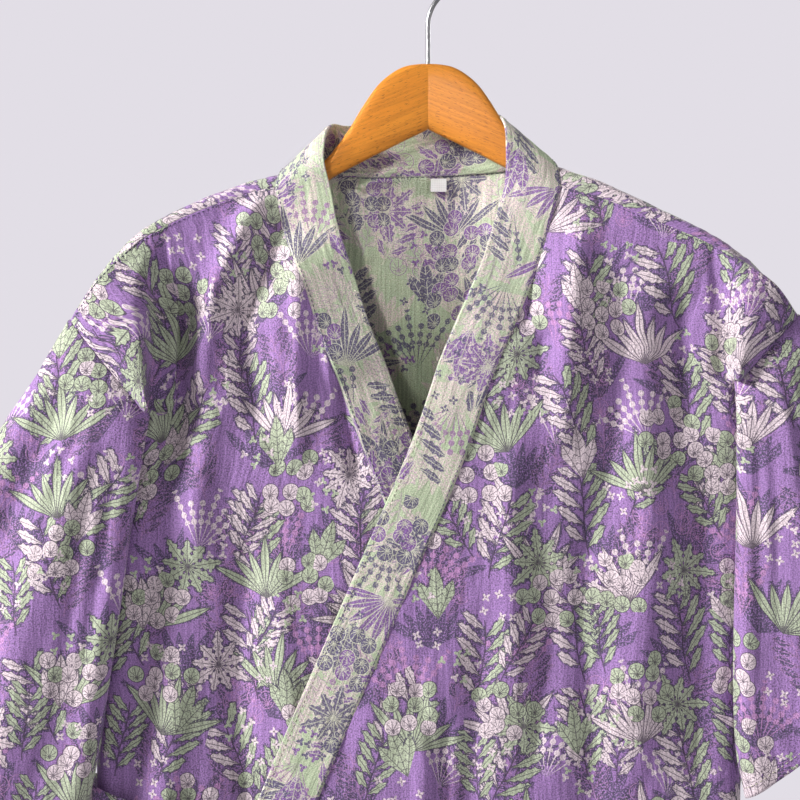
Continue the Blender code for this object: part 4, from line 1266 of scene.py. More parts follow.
def round_leaf(radius, rib_step, cluster, share):
    """Round leaves in clumps, with ribs from a point near their foot."""
    return (
        *clumps(cluster, 0.7, share),
        ("disc", "LESS_THAN", "far", radius),
        ("fill", "MULTIPLY", "disc", "bound"),
        ("up", "ADD", "at.Y", 0.42 * radius),
        ("turn", "ARCTAN2", "at.X", "up"),
        *radius_from("from_foot", "up"),
        ("swing", "MULTIPLY", "from_foot", rib_step),
        *ordered("turn", rib_step, "swing"),
        ("near_rib", "LESS_THAN", "off", 0.24),
        ("ribbed", "LESS_THAN", "far", 0.8 * radius),
        ("rib", "MULTIPLY", "near_rib", "ribbed"),
        ("rim", "COMPARE", "far", radius, 0.3),
        ("marks", "MAXIMUM", "rib", "rim"),
        ("line", "MULTIPLY", "marks", "bound"),
    )


def blossom(radius, petals, cluster, share):
    """Small flowers of a few petals, kept to clumps."""
    return (
        *clumps(cluster, 0.8, share),
        ("turn", "ARCTAN2", "at.X", "at.Y"),
        ("petal", "MULTIPLY", "turn", petals),
        ("wave", "COSINE", "petal"),
        ("edge", "MULTIPLY_ADD", "wave", 0.34 * radius, 0.66 * radius),
        ("inside", "LESS_THAN", "far", "edge"),
        ("fill", "MULTIPLY", "inside", "bound"),
        ("eye", "LESS_THAN", "far", 0.2 * radius),
        ("line", "MULTIPLY", "eye", "fill"),
    )


# The print's motifs, each with the rows that place and shape it.
MOTIFS = {
    "shade_fan": (repeat(64.0, 17.0, 0.6, 0.7), leaf_fan(22.0, 44.0, 3.2, 0.32, 3), WASH),
    "shade_branch": (repeat(58.0, 231.0, 0.6, 0.5), branch(46.0, 17.0, 2.2, 8.0), WASH),
    "outlined": (repeat(15.5, 93.0, 0.5, 0.4), round_leaf(6.4, 0.55, 104.0, 0.20)),
    "berry": (repeat(88.0, 911.0, 0.6, 0.5), leaf_fan(24.0, 46.0, 0.55, 0.27, 3), berries(6.6, 2.3)),
    "branch": (repeat(84.0, 401.0, 0.55, 0.5), branch(66.0, 22.0, 2.8, 11.5), HALO),
    "twig": (repeat(96.0, 77.0, 0.6, 0.6), branch(54.0, 17.0, 2.2, 9.0), HALO),
    "fan": (repeat(96.0, 149.0, 0.6, 0.5), leaf_fan(24.0, 48.0, 3.3, 0.34, 3), HALO),
    "ear": (repeat(116.0, 719.0, 0.6, 0.4), leaf_fan(14.0, 40.0, 5.4, 0.42, 1), bars(5.4), HALO),
    "star": (repeat(122.0, 317.0, 0.6, 1.2), leaf_fan(0.0, 27.0, 2.4, 2 * math.pi / 9, 5, 0.9), HALO),
    "round": (repeat(13.2, 55.0, 0.62, 0.6), round_leaf(6.1, 0.6, 92.0, 0.25)),
    "trefoil": (repeat(9.5, 611.0, 0.6, 3.0), blossom(3.3, 3.0, 84.0, 0.17)),
    "cross": (repeat(12.0, 505.0, 0.6, 3.0), blossom(3.4, 4.0, 90.0, 0.19)),
}
# Coats of colour from the ground up: a motif's part, its colour or the two it varies between, and strength.
COATS = (
    ("shade_fan wash", "Shade", 0.85),
    ("shade_fan line", "Shade", 0.5),
    ("shade_branch wash", "Shade", 0.9),
    ("shade_branch line", "Pink", 0.45),
    ("outlined line", "Pink", 0.85),
    ("berry fill", ("Pink", "Pale", "berry chance.Blue"), 0.9),
    ("branch halo", "Shade", 0.85),
    ("branch fill", ("Pale", "Green", "branch side"), 0.95),
    ("branch line", "Line", 0.75),
    ("twig halo", "Shade", 0.85),
    ("twig fill", ("Green", "Pale", "twig chance.Blue"), 0.92),
    ("twig line", "Line", 0.7),
    ("fan halo", "Shade", 0.85),
    ("fan fill", ("Pale", "Green", "fan chance.Blue"), 0.95),
    ("fan line", "Line", 0.75),
    ("ear halo", "Shade", 0.85),
    ("ear fill", ("Pale", "Green", "ear chance.Blue"), 0.95),
    ("ear line", "Line", 0.75),
    ("star halo", "Shade", 0.85),
    ("star fill", ("Green", "Pale", "star chance.Green"), 0.92),
    ("star line", "Line", 0.7),
    ("round fill", ("Pale", "Green", "round chance.Blue"), 0.95),
    ("round line", "Line", 0.8),
    ("trefoil fill", ("Green", "Pale", "trefoil chance.Blue"), 0.95),
    ("cross fill", "Pale", 0.95),
    ("cross line", "Line", 0.7),
)
PAINTS = ("Ground", "Pale", "Green", "Shade", "Line", "Pink")


def leaf_print():
    """The woven leaf design as a group: a place on the cloth and six colours in, one colour out."""
    tree = bpy.data.node_groups.new("leaf_print", "ShaderNodeTree")
    tree.interface.new_socket("Point", in_out="INPUT", socket_type="NodeSocketVector")
    for paint in PAINTS:
        tree.interface.new_socket(paint, in_out="INPUT", socket_type="NodeSocketColor")
    tree.interface.new_socket("Colour", in_out="OUTPUT", socket_type="NodeSocketColor")
    given = tree.nodes.new("NodeGroupInput").outputs
    known = {"point": given["Point"], "coat": given["Ground"], **{paint: given[paint] for paint in PAINTS}}
    # Short floats about 1.3 mm apart make the dark leaves and bands.
    grow(tree, known, (
        ("dots", "TexNoise", "2D", "point", 0.75, 1.0),
        ("dotted", "GREATER_THAN", "dots", 0.46),
    ))
    for motif, parts in MOTIFS.items():
        for rows in parts:
            grow(tree, known, rows, motif + " ")
    for mask, paint, strength in COATS:
        if isinstance(paint, tuple):
            first, second, choice = paint
            grow(tree, known, (
                ("pick", "GREATER_THAN", choice, 0.55),
                ("paint", "Mix", "RGBA", "pick", first, second),
            ))
            paint = "paint"
        grow(tree, known, (
            ("cover", "MULTIPLY", mask, strength),
            ("coat", "Mix", "RGBA", "cover", "coat", paint),
        ))
    tree.links.new(known["coat"], tree.nodes.new("NodeGroupOutput").inputs["Colour"])
    return tree


# A point's place on its flat cloth, as the mesh keeps it and in millimetres.
CLOTH_PLACE = (
    ("uv", "UVMap", "Cloth"),
    ("point", "VectorMath", "MULTIPLY", "uv", (1000.0, 1000.0, 0.0)),
)


def finish(name, rows, sockets):
    """A material grown from a table of nodes. Each of the shader's sockets named takes a node or a value."""
    material = bpy.data.materials.new(name)
    material.use_nodes = True
    tree = material.node_tree
    known = {}
    grow(tree, known, rows)
    for place, value in sockets.items():
        socket = tree.nodes["Principled BSDF"].inputs[place]
        if isinstance(value, str):
            tree.links.new(known[value], socket)
        else:
            socket.default_value = value
    return material


def times(colour, share):
    return tuple(share * part for part in colour)


def gauze(name, *colours):
    """Cotton double gauze, jacquard woven and washed: dry, soft and a little crinkled, threads uneven."""
    design = bpy.data.node_groups.get("leaf_print") or leaf_print()
    return finish(name, (
        *CLOTH_PLACE,
        ("print", "Group", design, "point", *colours),
        # Slub: threads of uneven thickness run down the cloth, about 1.6 mm across and 40 mm long.
        ("slub_place", "VectorMath", "MULTIPLY", "point", (0.62, 0.025, 1.0)),
        ("slub", "TexNoise", "2D", "slub_place", 1.0, 3.0),
        # Float speckle: short floats of the other warp, drawn at about 1 mm so that they show.
        ("speck", "TexNoise", "2D", "point", 0.8, 2.0),
        ("drift", "TexNoise", "2D", "point", 0.03, 2.0),
        ("speck_cut", "ADD", "speck", -0.50),
        ("speck_sharp", "MULTIPLY", "speck_cut", 7.0),
        ("speck_most", "MINIMUM", "speck_sharp", 1.0),
        ("speck_on", "MAXIMUM", "speck_most", 0.0),
        ("speck_share", "MULTIPLY", "speck_on", "drift"),
        ("speck_part", "MULTIPLY", "speck_share", 0.95),
        ("speckled", "Mix", "RGBA", "speck_part", "print", colours[4]),
        ("fibre", "TexNoise", "2D", "point", 1.1, 1.0),
        ("base", "MULTIPLY_ADD", "slub", 0.8, 0.07),
        ("light", "MULTIPLY_ADD", "fibre", 1.1, "base"),
        ("toned", "VectorMath", "SCALE", {"Vector": "speckled", "Scale": "light"}),
        # Crinkle of washed gauze: ripples some 5 mm wide and 30 mm long, and the weave's own grain.
        ("ripple_place", "VectorMath", "MULTIPLY", "point", (0.20, 0.034, 1.0)),
        ("ripple", "TexNoise", "2D", "ripple_place", 1.0, 4.0),
        ("grain", "TexNoise", "2D", "point", 1.3, 2.0),
        ("relief", "MULTIPLY_ADD", "grain", 0.22, "ripple"),
        ("bump", "Bump", None, {"Strength": 0.55, "Distance": 0.0016, "Height": "relief"}),
    ), {
        "Base Color": "toned", "Normal": "bump", "Roughness": 0.86, "IOR": 1.5, "Specular IOR Level": 0.25,
        "Sheen Weight": 0.25, "Sheen Roughness": 0.45,
    })


def yarn(name, colour):
    """Twisted cotton thread: soft and dry, with painted highlight and shade of its twist every 0.8 mm or so.
    """
    # Painted highlight and shade of the twist: lighter on the dark thread and darker on the pale one.
    twist_highlight_and_shade = times(colour, 1.8 if max(colour) < 0.2 else 0.7)
    return finish(name, (
        *CLOTH_PLACE,
        ("twist", "TexNoise", "2D", "point", 1.2, 1.0),
        ("tint", "Mix", "RGBA", "twist", colour, twist_highlight_and_shade),
        ("bump", "Bump", None, {"Strength": 0.4, "Distance": 0.0003, "Height": "twist"}),
    ), {"Base Color": "tint", "Normal": "bump", "Roughness": 0.8, "IOR": 1.5})


def woven_tape(name, colour):
    """Polyester label tape, plain woven: white, close and faintly silky, its threads drawn wide to show."""
    return finish(name, (
        *CLOTH_PLACE,
        ("across", "TexWave", "X", {"Vector": "uv", "Scale": 230.0, "Distortion": 0.4}),
        ("down", "TexWave", "Y", {"Vector": "uv", "Scale": 230.0}),
        ("weave", "MULTIPLY", "across", "down"),
        ("tint", "Mix", "RGBA", "weave", colour, times(colour, 0.8)),
        ("bump", "Bump", None, {"Strength": 0.3, "Distance": 0.0003, "Height": "weave"}),
    ), {"Base Color": "tint", "Normal": "bump", "Roughness": 0.6, "IOR": 1.57})


def lacquered_wood(name, colour):
    """Beech stained honey brown and lacquered: short dark flecks and fine grain, under a soft gloss."""
    return finish(name, (
        *CLOTH_PLACE,
        # Grain lines about 1.5 mm apart and flecks 5 mm long by 0.5 mm, both along the arm.
        ("grain_place", "VectorMath", "MULTIPLY", "point", (0.02, 0.55, 1.0)),
        ("grain", "TexNoise", "2D", "grain_place", 1.0, 4.0),
        ("fleck_place", "VectorMath", "MULTIPLY", "point", (0.22, 1.7, 1.0)),
        ("fleck", "TexNoise", "2D", "fleck_place", 1.0, 1.0),
        ("grain_low", "ADD", "grain", -0.38),
        ("grain_share", "MULTIPLY", "grain_low", 2.2),
        ("grain_least", "MAXIMUM", "grain_share", 0.0),
        ("grain_on", "MINIMUM", "grain_least", 0.6),
        ("grained", "Mix", "RGBA", "grain_on", colour, WOOD_GRAIN),
        ("fleck_low", "ADD", "fleck", -0.67),
        ("fleck_share", "MULTIPLY", "fleck_low", 14.0),
        ("fleck_least", "MAXIMUM", "fleck_share", 0.0),
        ("fleck_on", "MINIMUM", "fleck_least", 0.7),
        ("flecked", "Mix", "RGBA", "fleck_on", "grained", WOOD_FLECK),
        # Painted shade: the arm on the +X side is a little darker, standing in for how the light falls
        # unequally on the two arms.
        ("parts", "SeparateXYZ", None, "point"),
        ("left_arm", "GREATER_THAN", "parts.X", 0.0),
        ("stave", "MULTIPLY_ADD", "left_arm", -0.18, 0.92),
        ("toned", "VectorMath", "SCALE", {"Vector": "flecked", "Scale": "stave"}),
        ("bump", "Bump", None, {"Strength": 0.12, "Distance": 0.0004, "Height": "grain"}),
    ), {
        "Base Color": "toned", "Normal": "bump", "Roughness": 0.42, "IOR": 1.5, "Specular IOR Level": 0.35,
        "Coat Weight": 0.08, "Coat Roughness": 0.25,
    })


def drawn_wire(name, colour):
    """Zinc-plated steel wire, drawn: grey and bright, with fine lines along its length."""
    return finish(name, (
        ("uv", "UVMap", "Cloth"),
        ("line_place", "VectorMath", "MULTIPLY", "uv", (2500.0, 60.0, 1.0)),
        ("lines", "TexNoise", "2D", "line_place", 1.0, 2.0),
        ("tint", "Mix", "RGBA", "lines", times(colour, 0.75), colour),
        ("dull", "MULTIPLY_ADD", "lines", 0.2, 0.22),
        ("bump", "Bump", None, {"Strength": 0.1, "Distance": 0.0001, "Height": "lines"}),
    ), {"Base Color": "tint", "Roughness": "dull", "Normal": "bump", "Metallic": 1.0})


def matt_board(name, colour):
    """Painted board for the floor: matt, with a faint unevenness some 60 mm across."""
    return finish(name, (
        ("place", "TexCoord", None),
        ("cloud", "TexNoise", "3D", "place.Object", 16.0, 3.0),
        ("tint", "Mix", "RGBA", "cloud", colour, times(colour, 0.96)),
    ), {"Base Color": "tint", "Roughness": 0.9})


# Each finish by name: what makes it, and the colours of the panel that it takes.
FINISHES = {
    "cotton_gauze_face": (gauze, "ground pale_leaf green_leaf shade_leaf leaf_line pink_line"),
    "cotton_gauze_reverse": (
        gauze, "reverse_ground reverse_dark reverse_purple reverse_pale reverse_line reverse_plum"
    ),
    "cotton_thread_dark": (yarn, "dark_thread"),
    "cotton_thread_pale": (yarn, "pale_thread"),
    "polyester_woven_tape": (woven_tape, "label"),
    "beech_stained_lacquered": (lacquered_wood, "wood"),
    "steel_wire_drawn": (drawn_wire, "wire"),
    "painted_board_matt": (matt_board, "floor"),
}


def finish_of(name):
    """A finish by name, made on first use from the colours in the panel."""
    make, parts = FINISHES[name]
    colours = bpy.context.scene.robe_colours
    chosen = [tuple(getattr(colours, part)) for part in parts.split()]
    return bpy.data.materials.get(name) or make(name, *chosen)


# Fine forms of the cut pieces

# How far the sleeves' faces stand outside the rings, and how far their lower fold leans over the body.
SLEEVE_WALL = 1.4
SLEEVE_TUCK = 2.4
# Longest steps on the back: on its shoulders and corners, across, and down.
BACK_EDGE_STEP = 1.6
BACK_ACROSS_STEP = 3.4
BACK_DOWN_STEP = 3.4
BAND_STEP = 2.2


def sizes():
    return bpy.context.scene.robe_sizes


def ripples(grid, seed):
    """The washed cloth's own unevenness at each point of a grid: narrow crinkles on wider soft waves."""
    across = arc(grid, 1)
    down = arc(grid, 0)
    narrow = crinkle(across, down, 4.6, 21.0, seed)
    wide = crinkle(across, down, 11.0, 46.0, seed + 1)
    return (0.65 * narrow + wide) * sizes().crinkle_height / MM


def tucked(grid, flip, first=0.0, last=0.0, top=0.0):
    """The grid with a narrow strip beyond the named edges, 1 mm down under the piece that it is sewn to."""
    for reach, axis, edge, inner, at_end in (
        (top, 0, np.s_[0, :], np.s_[1, :], False),
        (first, 1, np.s_[:, 0], np.s_[:, 1], False),
        (last, 1, np.s_[:, -1], np.s_[:, -2], True),
    ):
        if not reach:
            continue
        way = grid[edge] - grid[inner]
        way /= np.maximum(np.linalg.norm(way, axis=1), 1e-9)[:, None]
        strip = np.expand_dims(grid[edge] + way * reach - normals_of(grid, flip)[edge], axis)
        grid = np.concatenate([grid, strip] if at_end else [strip, grid], axis=axis)
    return grid


def lifted(grid, flip, folds, inner_seam, fold_reach, seed, ripple_reach):
    """The grid with its table of folds and its ripples, both faded out at the seams."""
    fade = edge_fade(grid, first=inner_seam, reach=fold_reach)
    lift = fold_lift(folds, grid[:, :, 0], grid[:, :, 2]) * fade * sizes().fold_depth
    lift += ripples(grid, seed) * edge_fade(grid, reach=ripple_reach)
    return grid + normals_of(grid, flip) * lift[:, :, None]


def coarse_fronts():
    return {side: np.array([front_row(side, row) for row in range(ROW_COUNT)]) for side in (-1, 1)}


def front_cloth(side, coarse):
    """Fine grid of one front, from the collar seam to the armhole and side."""
    down = chords(coarse, 0)
    foot = np.interp(-FINE_FOOT, -ROWS["centre"], down)
    rows = spread((0.0, foot, FINE_STEP), (foot, down[-1], COARSE_STEP))
    across = chords(coarse, 1)
    corner = across[INNER_STEPS]
    columns = spread((0.0, corner, FINE_STEP), (corner, across[-1], CORNER_STEP))
    return lifted(refined(coarse, rows, columns), side, FRONT_FOLDS, False, 14.0, SEED + side, SEAM_FADE)


def back_cloth(fronts):
    """Fine grid of the back: over both shoulders and down to the hem."""
    coarse = back_grid(fronts[-1], fronts[1])
    down = chords(coarse, 0)
    foot = np.interp(-FINE_FOOT, -ROWS["centre"], down[RIDGE_ROWS:])
    ridge = down[RIDGE_ROWS]
    rows = spread((0.0, ridge, BACK_EDGE_STEP), (ridge, foot, BACK_DOWN_STEP), (foot, down[-1], COARSE_STEP))
    across = chords(coarse, 1)
    near, far = across[BACK_CORNER_STEPS], across[-1 - BACK_CORNER_STEPS]
    columns = spread(
        (0.0, near, BACK_EDGE_STEP), (near, far, BACK_ACROSS_STEP), (far, across[-1], BACK_EDGE_STEP)
    )
    return lifted(refined(coarse, rows, columns), -1, BACK_FOLDS, True, 12.0, SEED + 5, 6.0)


def sleeve_cloth(side):
    """Fine rings of one sleeve, from the underarm round its back and top, and the top fold's column."""
    coarse = np.roll(sleeve_grid(side), -RING_FRONT_STEPS, axis=1)
    wide, keys = widened(coarse)
    down = chords(coarse, 0)
    steps = coarse.shape[1]
    fold = keys[steps - RING_FRONT_STEPS]
    start, end = keys[2], keys[2 + steps]
    columns = spread((start, fold, SLEEVE_STEP), (fold, end, SLEEVE_STEP))
    rows = spread((0.0, down[-1], SLEEVE_STEP))
    grid = closed(wide, down, keys, rows, columns)
    top = int(np.argmin(np.abs(columns - fold)))
    at_front = columns >= fold
    share = np.where(at_front, (columns - fold) / (end - fold), (fold - columns) / (fold - start))
    length = (rows / rows[-1])[:, None]
    lift = np.zeros(grid.shape[:2])
    for place, begin, finish, half, rise, drift in zip(*SLEEVE_FOLDS.values()):
        fade = smooth((length - begin) / 0.25)
        if finish < 1:
            fade = fade * smooth((finish + 0.15 - length) / 0.3)
        middle = place + drift * length + 0.012 * np.sin(length * 9.0 + 20 * place)
        lift += rise * fade * np.exp(-(((share - middle) / half) ** 2))
    lift *= np.where(at_front, 1.0, -0.6) * sizes().fold_depth
    wave = ripples(grid, SEED + 9 * side) * edge_fade(grid, first=False, last=False)
    blend = smooth(np.minimum(columns - start, end - columns) / 12.0)
    inward = sum(SLEEVE_TUCK * np.exp(-((gap / 9.0) ** 2)) for gap in (end - columns, columns - start))
    grid[:, :, 0] -= side * inward * np.exp(-(((length - 0.15) / 0.35) ** 2))
    lift = lift * blend + wave * blend + SLEEVE_WALL
    return grid + normals_around(grid, -side, True) * lift[:, :, None], top


def front_places(grid, side):
    across = grid[:, :1, 0] + side * arc(grid, 1)
    return np.stack([across, grid[:, :, 2]], axis=2)


def back_places(grid):
    across = arc(grid, 1)
    middle = across[:, across.shape[1] // 2][:, None]
    return np.stack([middle - across - 90.0, -arc(grid, 0) - 160.0], axis=2)


def sleeve_places(grid, top):
    upper = grid[:, top][:, [0, 2]]
    way = grid[:, -1][:, [0, 2]] - upper
    way /= np.linalg.norm(way, axis=1)[:, None]
    around = arc(grid, 1)
    around -= around[:, top][:, None]
    return upper[:, None] + way[:, None] * around[:, :, None] + np.array((37.0, 61.0))


def band_lines(fronts, back):
    """Seam and free edge of the collar band in fine steps, with the outward way and the distance along."""
    sections = collar_sections(fronts[-1], fronts[1], back)
    keys = chords(sections, 0)
    low_right = np.interp(FINE_FOOT, sections[:ROW_COUNT, 0, 2], keys[:ROW_COUNT])
    low_left = np.interp(-FINE_FOOT, -sections[-ROW_COUNT:, 0, 2], keys[-ROW_COUNT:])
    places = spread(
        (0.0, low_right, COARSE_STEP), (low_right, low_left, BAND_STEP), (low_left, keys[-1], COARSE_STEP)
    )
    lines = through(sections, keys, places)
    outward = normals_of(lines, -1)[:, 1]
    seam, free = lines[:, 0].copy(), lines[:, 2].copy()
    lift = fold_lift(FRONT_FOLDS, seam[:, 0], seam[:, 2]) * smooth((-185.0 - seam[:, 2]) / 30.0)
    lift *= (places < keys[ROW_COUNT]) | (places > keys[-ROW_COUNT - 1])
    lift *= sizes().fold_depth
    seam[:, 1] -= lift
    free[:, 1] -= 0.4 * lift
    return seam, free, outward, places


def band_rings(fronts, back):
    """Closed cross-sections of the collar band: face, rounded free edge, reverse and seam edge."""
    seam, free, outward, places = band_lines(fronts, back)
    thick = sizes().band_thickness / MM
    across = free - seam
    width = np.linalg.norm(across, axis=1)[:, None]
    across = across / width
    radius = thick / 2

    def reach_at(share):
        return -BAND_OVERLAP + (width - radius + BAND_OVERLAP) * share

    points = []
    for share in np.linspace(0, 1, 15):
        crown = 0.8 * math.sin(math.pi * share) + BAND_RAISE * (1 - share) ** 2
        points.append((reach_at(share), crown, reach_at(share)))
    for step in range(1, 6):
        turn = math.pi * step / 6
        reach = width - radius + radius * math.sin(turn)
        points.append((reach, -radius * (1 - math.cos(turn)), reach + radius * turn / 2))
    for share in np.linspace(1, 0, 9):
        points.append((reach_at(share), BAND_RAISE * (1 - share) ** 2 - thick, 2 * width - reach_at(share)))
    rings = np.array([seam + across * reach + outward * rise for reach, rise, _ in points])
    rings = rings.transpose(1, 0, 2)
    spots = np.array([spot[:, 0] for *_, spot in points]).T
    down = np.broadcast_to(places[:, None], spots.shape)
    uneven = 0.32 * crinkle(spots, down, 7.0, 13.0, SEED + 21)
    uneven += 0.4 * crinkle(spots, down, 16.0, 34.0, SEED + 22)
    return rings + outward[:, None] * uneven[:, :, None], np.stack([spots - 20.0, down], axis=2), outward


def belt_cloth():
    """Fine grid of the belt round the waist, its last column the first one again."""
    coarse = np.array([belt_ring(share) for share in np.linspace(0.0, 1.0, 5)])
    wide, keys = widened(coarse)
    down = chords(coarse, 0)
    columns = spread((keys[2], keys[2 + coarse.shape[1]], 2.6))
    grid = closed(wide, down, keys, np.linspace(0, down[-1], 16), columns)
    x, y, z = grid[:, :, 0], grid[:, :, 1], grid[:, :, 2]
    at_front = smooth((float(np.mean(y)) - y) / 20.0)
    folds = fold_lift(FRONT_FOLDS, x, z) * at_front + fold_lift(BACK_FOLDS, x, z) * (1 - at_front)
    near_knot = np.exp(-(((x - KNOT_X) / 46.0) ** 2)) * at_front
    pleats = np.sin(np.linspace(0, 1, len(grid))[:, None] * 14.0) * 1.1 * near_knot
    wave = crinkle(arc(grid, 1), arc(grid, 0), 42.0, 8.0, SEED + 31) * 0.7
    lift = np.maximum(folds, 0.0) + 0.6 + pleats + wave
    blend = smooth(np.minimum(columns - columns[0], columns[-1] - columns) / 12.0)
    return grid + normals_around(grid, 1, True) * (lift * blend)[:, :, None]


def belt_end_cloth(start, lean, length, layer, nearest):
    """Fine grid of one hanging end of the belt, gathered where it leaves the knot."""
    middle = knot_height()
    step = BELT_CLOTH + PIECE_GAP
    depth = nearest - (layer + 1) * step - layer * PIECE_GAP
    rows = []
    for share in np.linspace(0, 1, END_POINTS[0]):
        height = middle - length * share
        gather = 1 - 0.42 * math.exp(-((share * length / 42.0) ** 2))
        below = smooth((middle - BELT_WIDTH / 2 - END_SETTLE - height) / END_DROP)
        for across in np.linspace(-0.5, 0.5, END_POINTS[1]):
            x = KNOT_X + start + lean * share + across * END_WIDTH * gather
            lift = float(fold_lift(FRONT_FOLDS, np.array(x), np.array(height)))
            near = belt_layer(x, height) - layer * (step + PIECE_GAP) - max(lift, 0.0) - 0.5
            settled = depth * (1 - below) + min(near, depth + END_SETTLE) * below
            pleat = 1.6 * math.sin(across * 15.0 + 0.6) * math.exp(-((share * length / 60.0) ** 2))
            sway = 1.2 * math.sin(share * 9.0 + across * 2.0)
            rows.append((x, settled - abs(pleat) - max(sway, 0.0), height))
    return np.array(rows).reshape(*END_POINTS, 3)


def full_turn(count):
    """Angles in even steps once round."""
    return np.linspace(0, 2 * math.pi, count + 1)[:-1]


def knot_height():
    return float(curve(BELT, "x", "top", KNOT_X)) - BELT_WIDTH / 2


def squared(turn, power):
    """A point of a squarish round: forward and upward shares."""
    return [math.copysign(abs(value) ** power, value) for value in (math.cos(turn), math.sin(turn))]


# Making the pieces


def keep(piece, node):
    """Sets a piece on the frame: it rides with the body, and the imported solid that it stands for, if any,
    is hidden.
    """
    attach(piece, "root")
    if node:
        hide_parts(node)


def robe_piece(name, node, grid, places, flip, around=False):
    """A thin panel of the robe, with the print's face outside and its reverse inside."""
    faces = [finish_of("cotton_gauze_face"), finish_of("cotton_gauze_reverse")]
    piece = shell(name, grid, places, sizes().cloth_thickness / MM, flip, faces, around)
    keep(piece, node)


def build_front(side):
    grid = tucked(front_cloth(side, coarse_fronts()[side]), side, top=FRONT_TOP_TUCK, first=FRONT_SEAM_TUCK)
    node = "front_over" if side > 0 else "front_under"
    robe_piece("front_cloth_" + side_name(side), node, grid, front_places(grid, side), side)


def build_back():
    grid = tucked(back_cloth(coarse_fronts()), -1, first=BACK_TUCK, last=BACK_TUCK)
    robe_piece("back_cloth", "back", grid, back_places(grid), -1)


def build_sleeve(side):
    grid, top = sleeve_cloth(side)
    places = sleeve_places(grid, top)
    ways = normals_around(grid, -side, True)
    strip = grid[0] + (grid[0] - grid[1]) / SLEEVE_STEP * SLEEVE_SEAM_TUCK - ways[0]
    grid = np.concatenate([strip[None], grid])
    places = np.concatenate([2 * places[:1] - places[1:2], places])
    node = "sleeve_" + side_name(side)
    robe_piece(node + "_cloth", node, grid, places, -side, around=True)


def build_collar():
    fronts = coarse_fronts()
    rings, places, _ = band_rings(fronts, back_grid(fronts[-1], fronts[1]))
    piece = tube("collar_band", rings, places, finish_of("cotton_gauze_reverse"))
    keep(piece, "collar")


def build_belt():
    grid = belt_cloth()
    places = np.stack([arc(grid, 1), -arc(grid, 0)], axis=2)
    faces = [finish_of("cotton_gauze_face")] * 2
    piece = shell("belt_band", grid, places, 1.3, 1, faces, around=True)
    keep(piece, "belt")
    nearest = float(min(grid[:, :, 1][np.abs(grid[:, :, 0] - KNOT_X) < KNOT_REACH]))
    build_knot(nearest)
    for start, lean, reach, layer in zip(*BELT_ENDS.values()):
        node = "belt_end_right" if lean < 0 else "belt_end_left"
        grid = belt_end_cloth(start, lean, reach, layer, nearest)
        across = arc(grid, 1)
        middle = across[:, across.shape[1] // 2][:, None]
        places = np.stack([across - middle + 200.0 * lean, -arc(grid, 0)], axis=2)
        end = shell(node + "_cloth", grid, places, 1.2, 1, faces)
        keep(end, node)


def build_knot(nearest):
    """The belt's square knot: a folded loop pinched in the middle, and the turn of cloth that binds it."""
    middle = knot_height()
    front = nearest - 2 * (BELT_CLOTH + PIECE_GAP) - 2 * PIECE_GAP
    half_width, half_depth, half_height = (size / 2 for size in KNOT)
    loop = []
    for share in np.linspace(-1, 1, LOOP_POINTS[0]):
        pinch = 1 - 0.34 * math.exp(-((share / 0.34) ** 2))
        end = math.sqrt(max(1 - abs(share) ** 7, 0.02))
        for turn in full_turn(LOOP_POINTS[1]):
            forward, upward = squared(turn, 0.6)
            crease = 0.09 * math.sin(turn * 7 + share * 2.2) * (1 - abs(share))
            crease += 0.04 * math.sin(turn * 11 - share * 4)
            size = pinch * end * (1 + crease)
            depth = front - half_depth + (half_depth - 1.0) * size * forward
            loop.append((KNOT_X + share * half_width, depth, middle + (half_height - 1.0) * size * upward))
    loop = np.array(loop).reshape(*LOOP_POINTS, 3)
    binding = []
    for turn in full_turn(TURN_POINTS[0]):
        forward, upward = squared(turn, 0.7)
        for around in full_turn(TURN_POINTS[1]):
            wide = (9.0 + 1.5 * math.sin(turn * 2 + 0.7)) * math.cos(around)
            size = 1 + (1.3 * math.sin(around) + 0.5 * math.sin(wide * 0.9 + turn)) / 12.0
            depth = front - half_depth + (half_depth - 1.2) * 0.92 * size * forward
            height = middle + (half_height - 3.0) * 0.74 * size * upward
            binding.append((KNOT_X + 2.0 + wide + 0.12 * (height - middle), depth, height))
    binding = np.array(binding).reshape(*TURN_POINTS, 3)
    binding = np.concatenate([binding, binding[:1]])
    made = []
    for name, node, rings, slant, shift in (
        ("belt_knot_cloth", "belt_knot", loop, 1.0, 0.0),
        ("belt_knot_turn", None, binding, 0.0, 60.0),
    ):
        places = np.stack([rings[:, :, 0] + slant * rings[:, :, 1] + shift, rings[:, :, 2]], axis=2)
        made.append(tube(name, rings, places, finish_of("cotton_gauze_face")))
        keep(made[-1], node)
    return made


def build_hanger():
    places = spread((-213.0, -8.0, 2.5), (-8.0, 8.0, 0.35), (8.0, 213.0, 2.5))
    rings = np.array([arm_section(x) for x in places])
    middle = rings.mean(axis=1)[:, None]
    groove = 0.18 * np.exp(-((places / 0.6) ** 2))
    reach = np.linalg.norm(rings - middle, axis=2)
    rings = middle + (rings - middle) * (1 - groove[:, None] / reach)[:, :, None]
    # The grain runs straight along each arm, level with its lower edge.
    level = rings[:, :, 2] + 0.53 * np.abs(rings[:, :, 0]) + 0.6 * rings[:, :, 1]
    spots = np.stack([rings[:, :, 0], level], axis=2)
    piece = tube("hanger_arms", rings, spots, finish_of("beech_stained_lacquered"))
    keep(piece, "hanger_body")


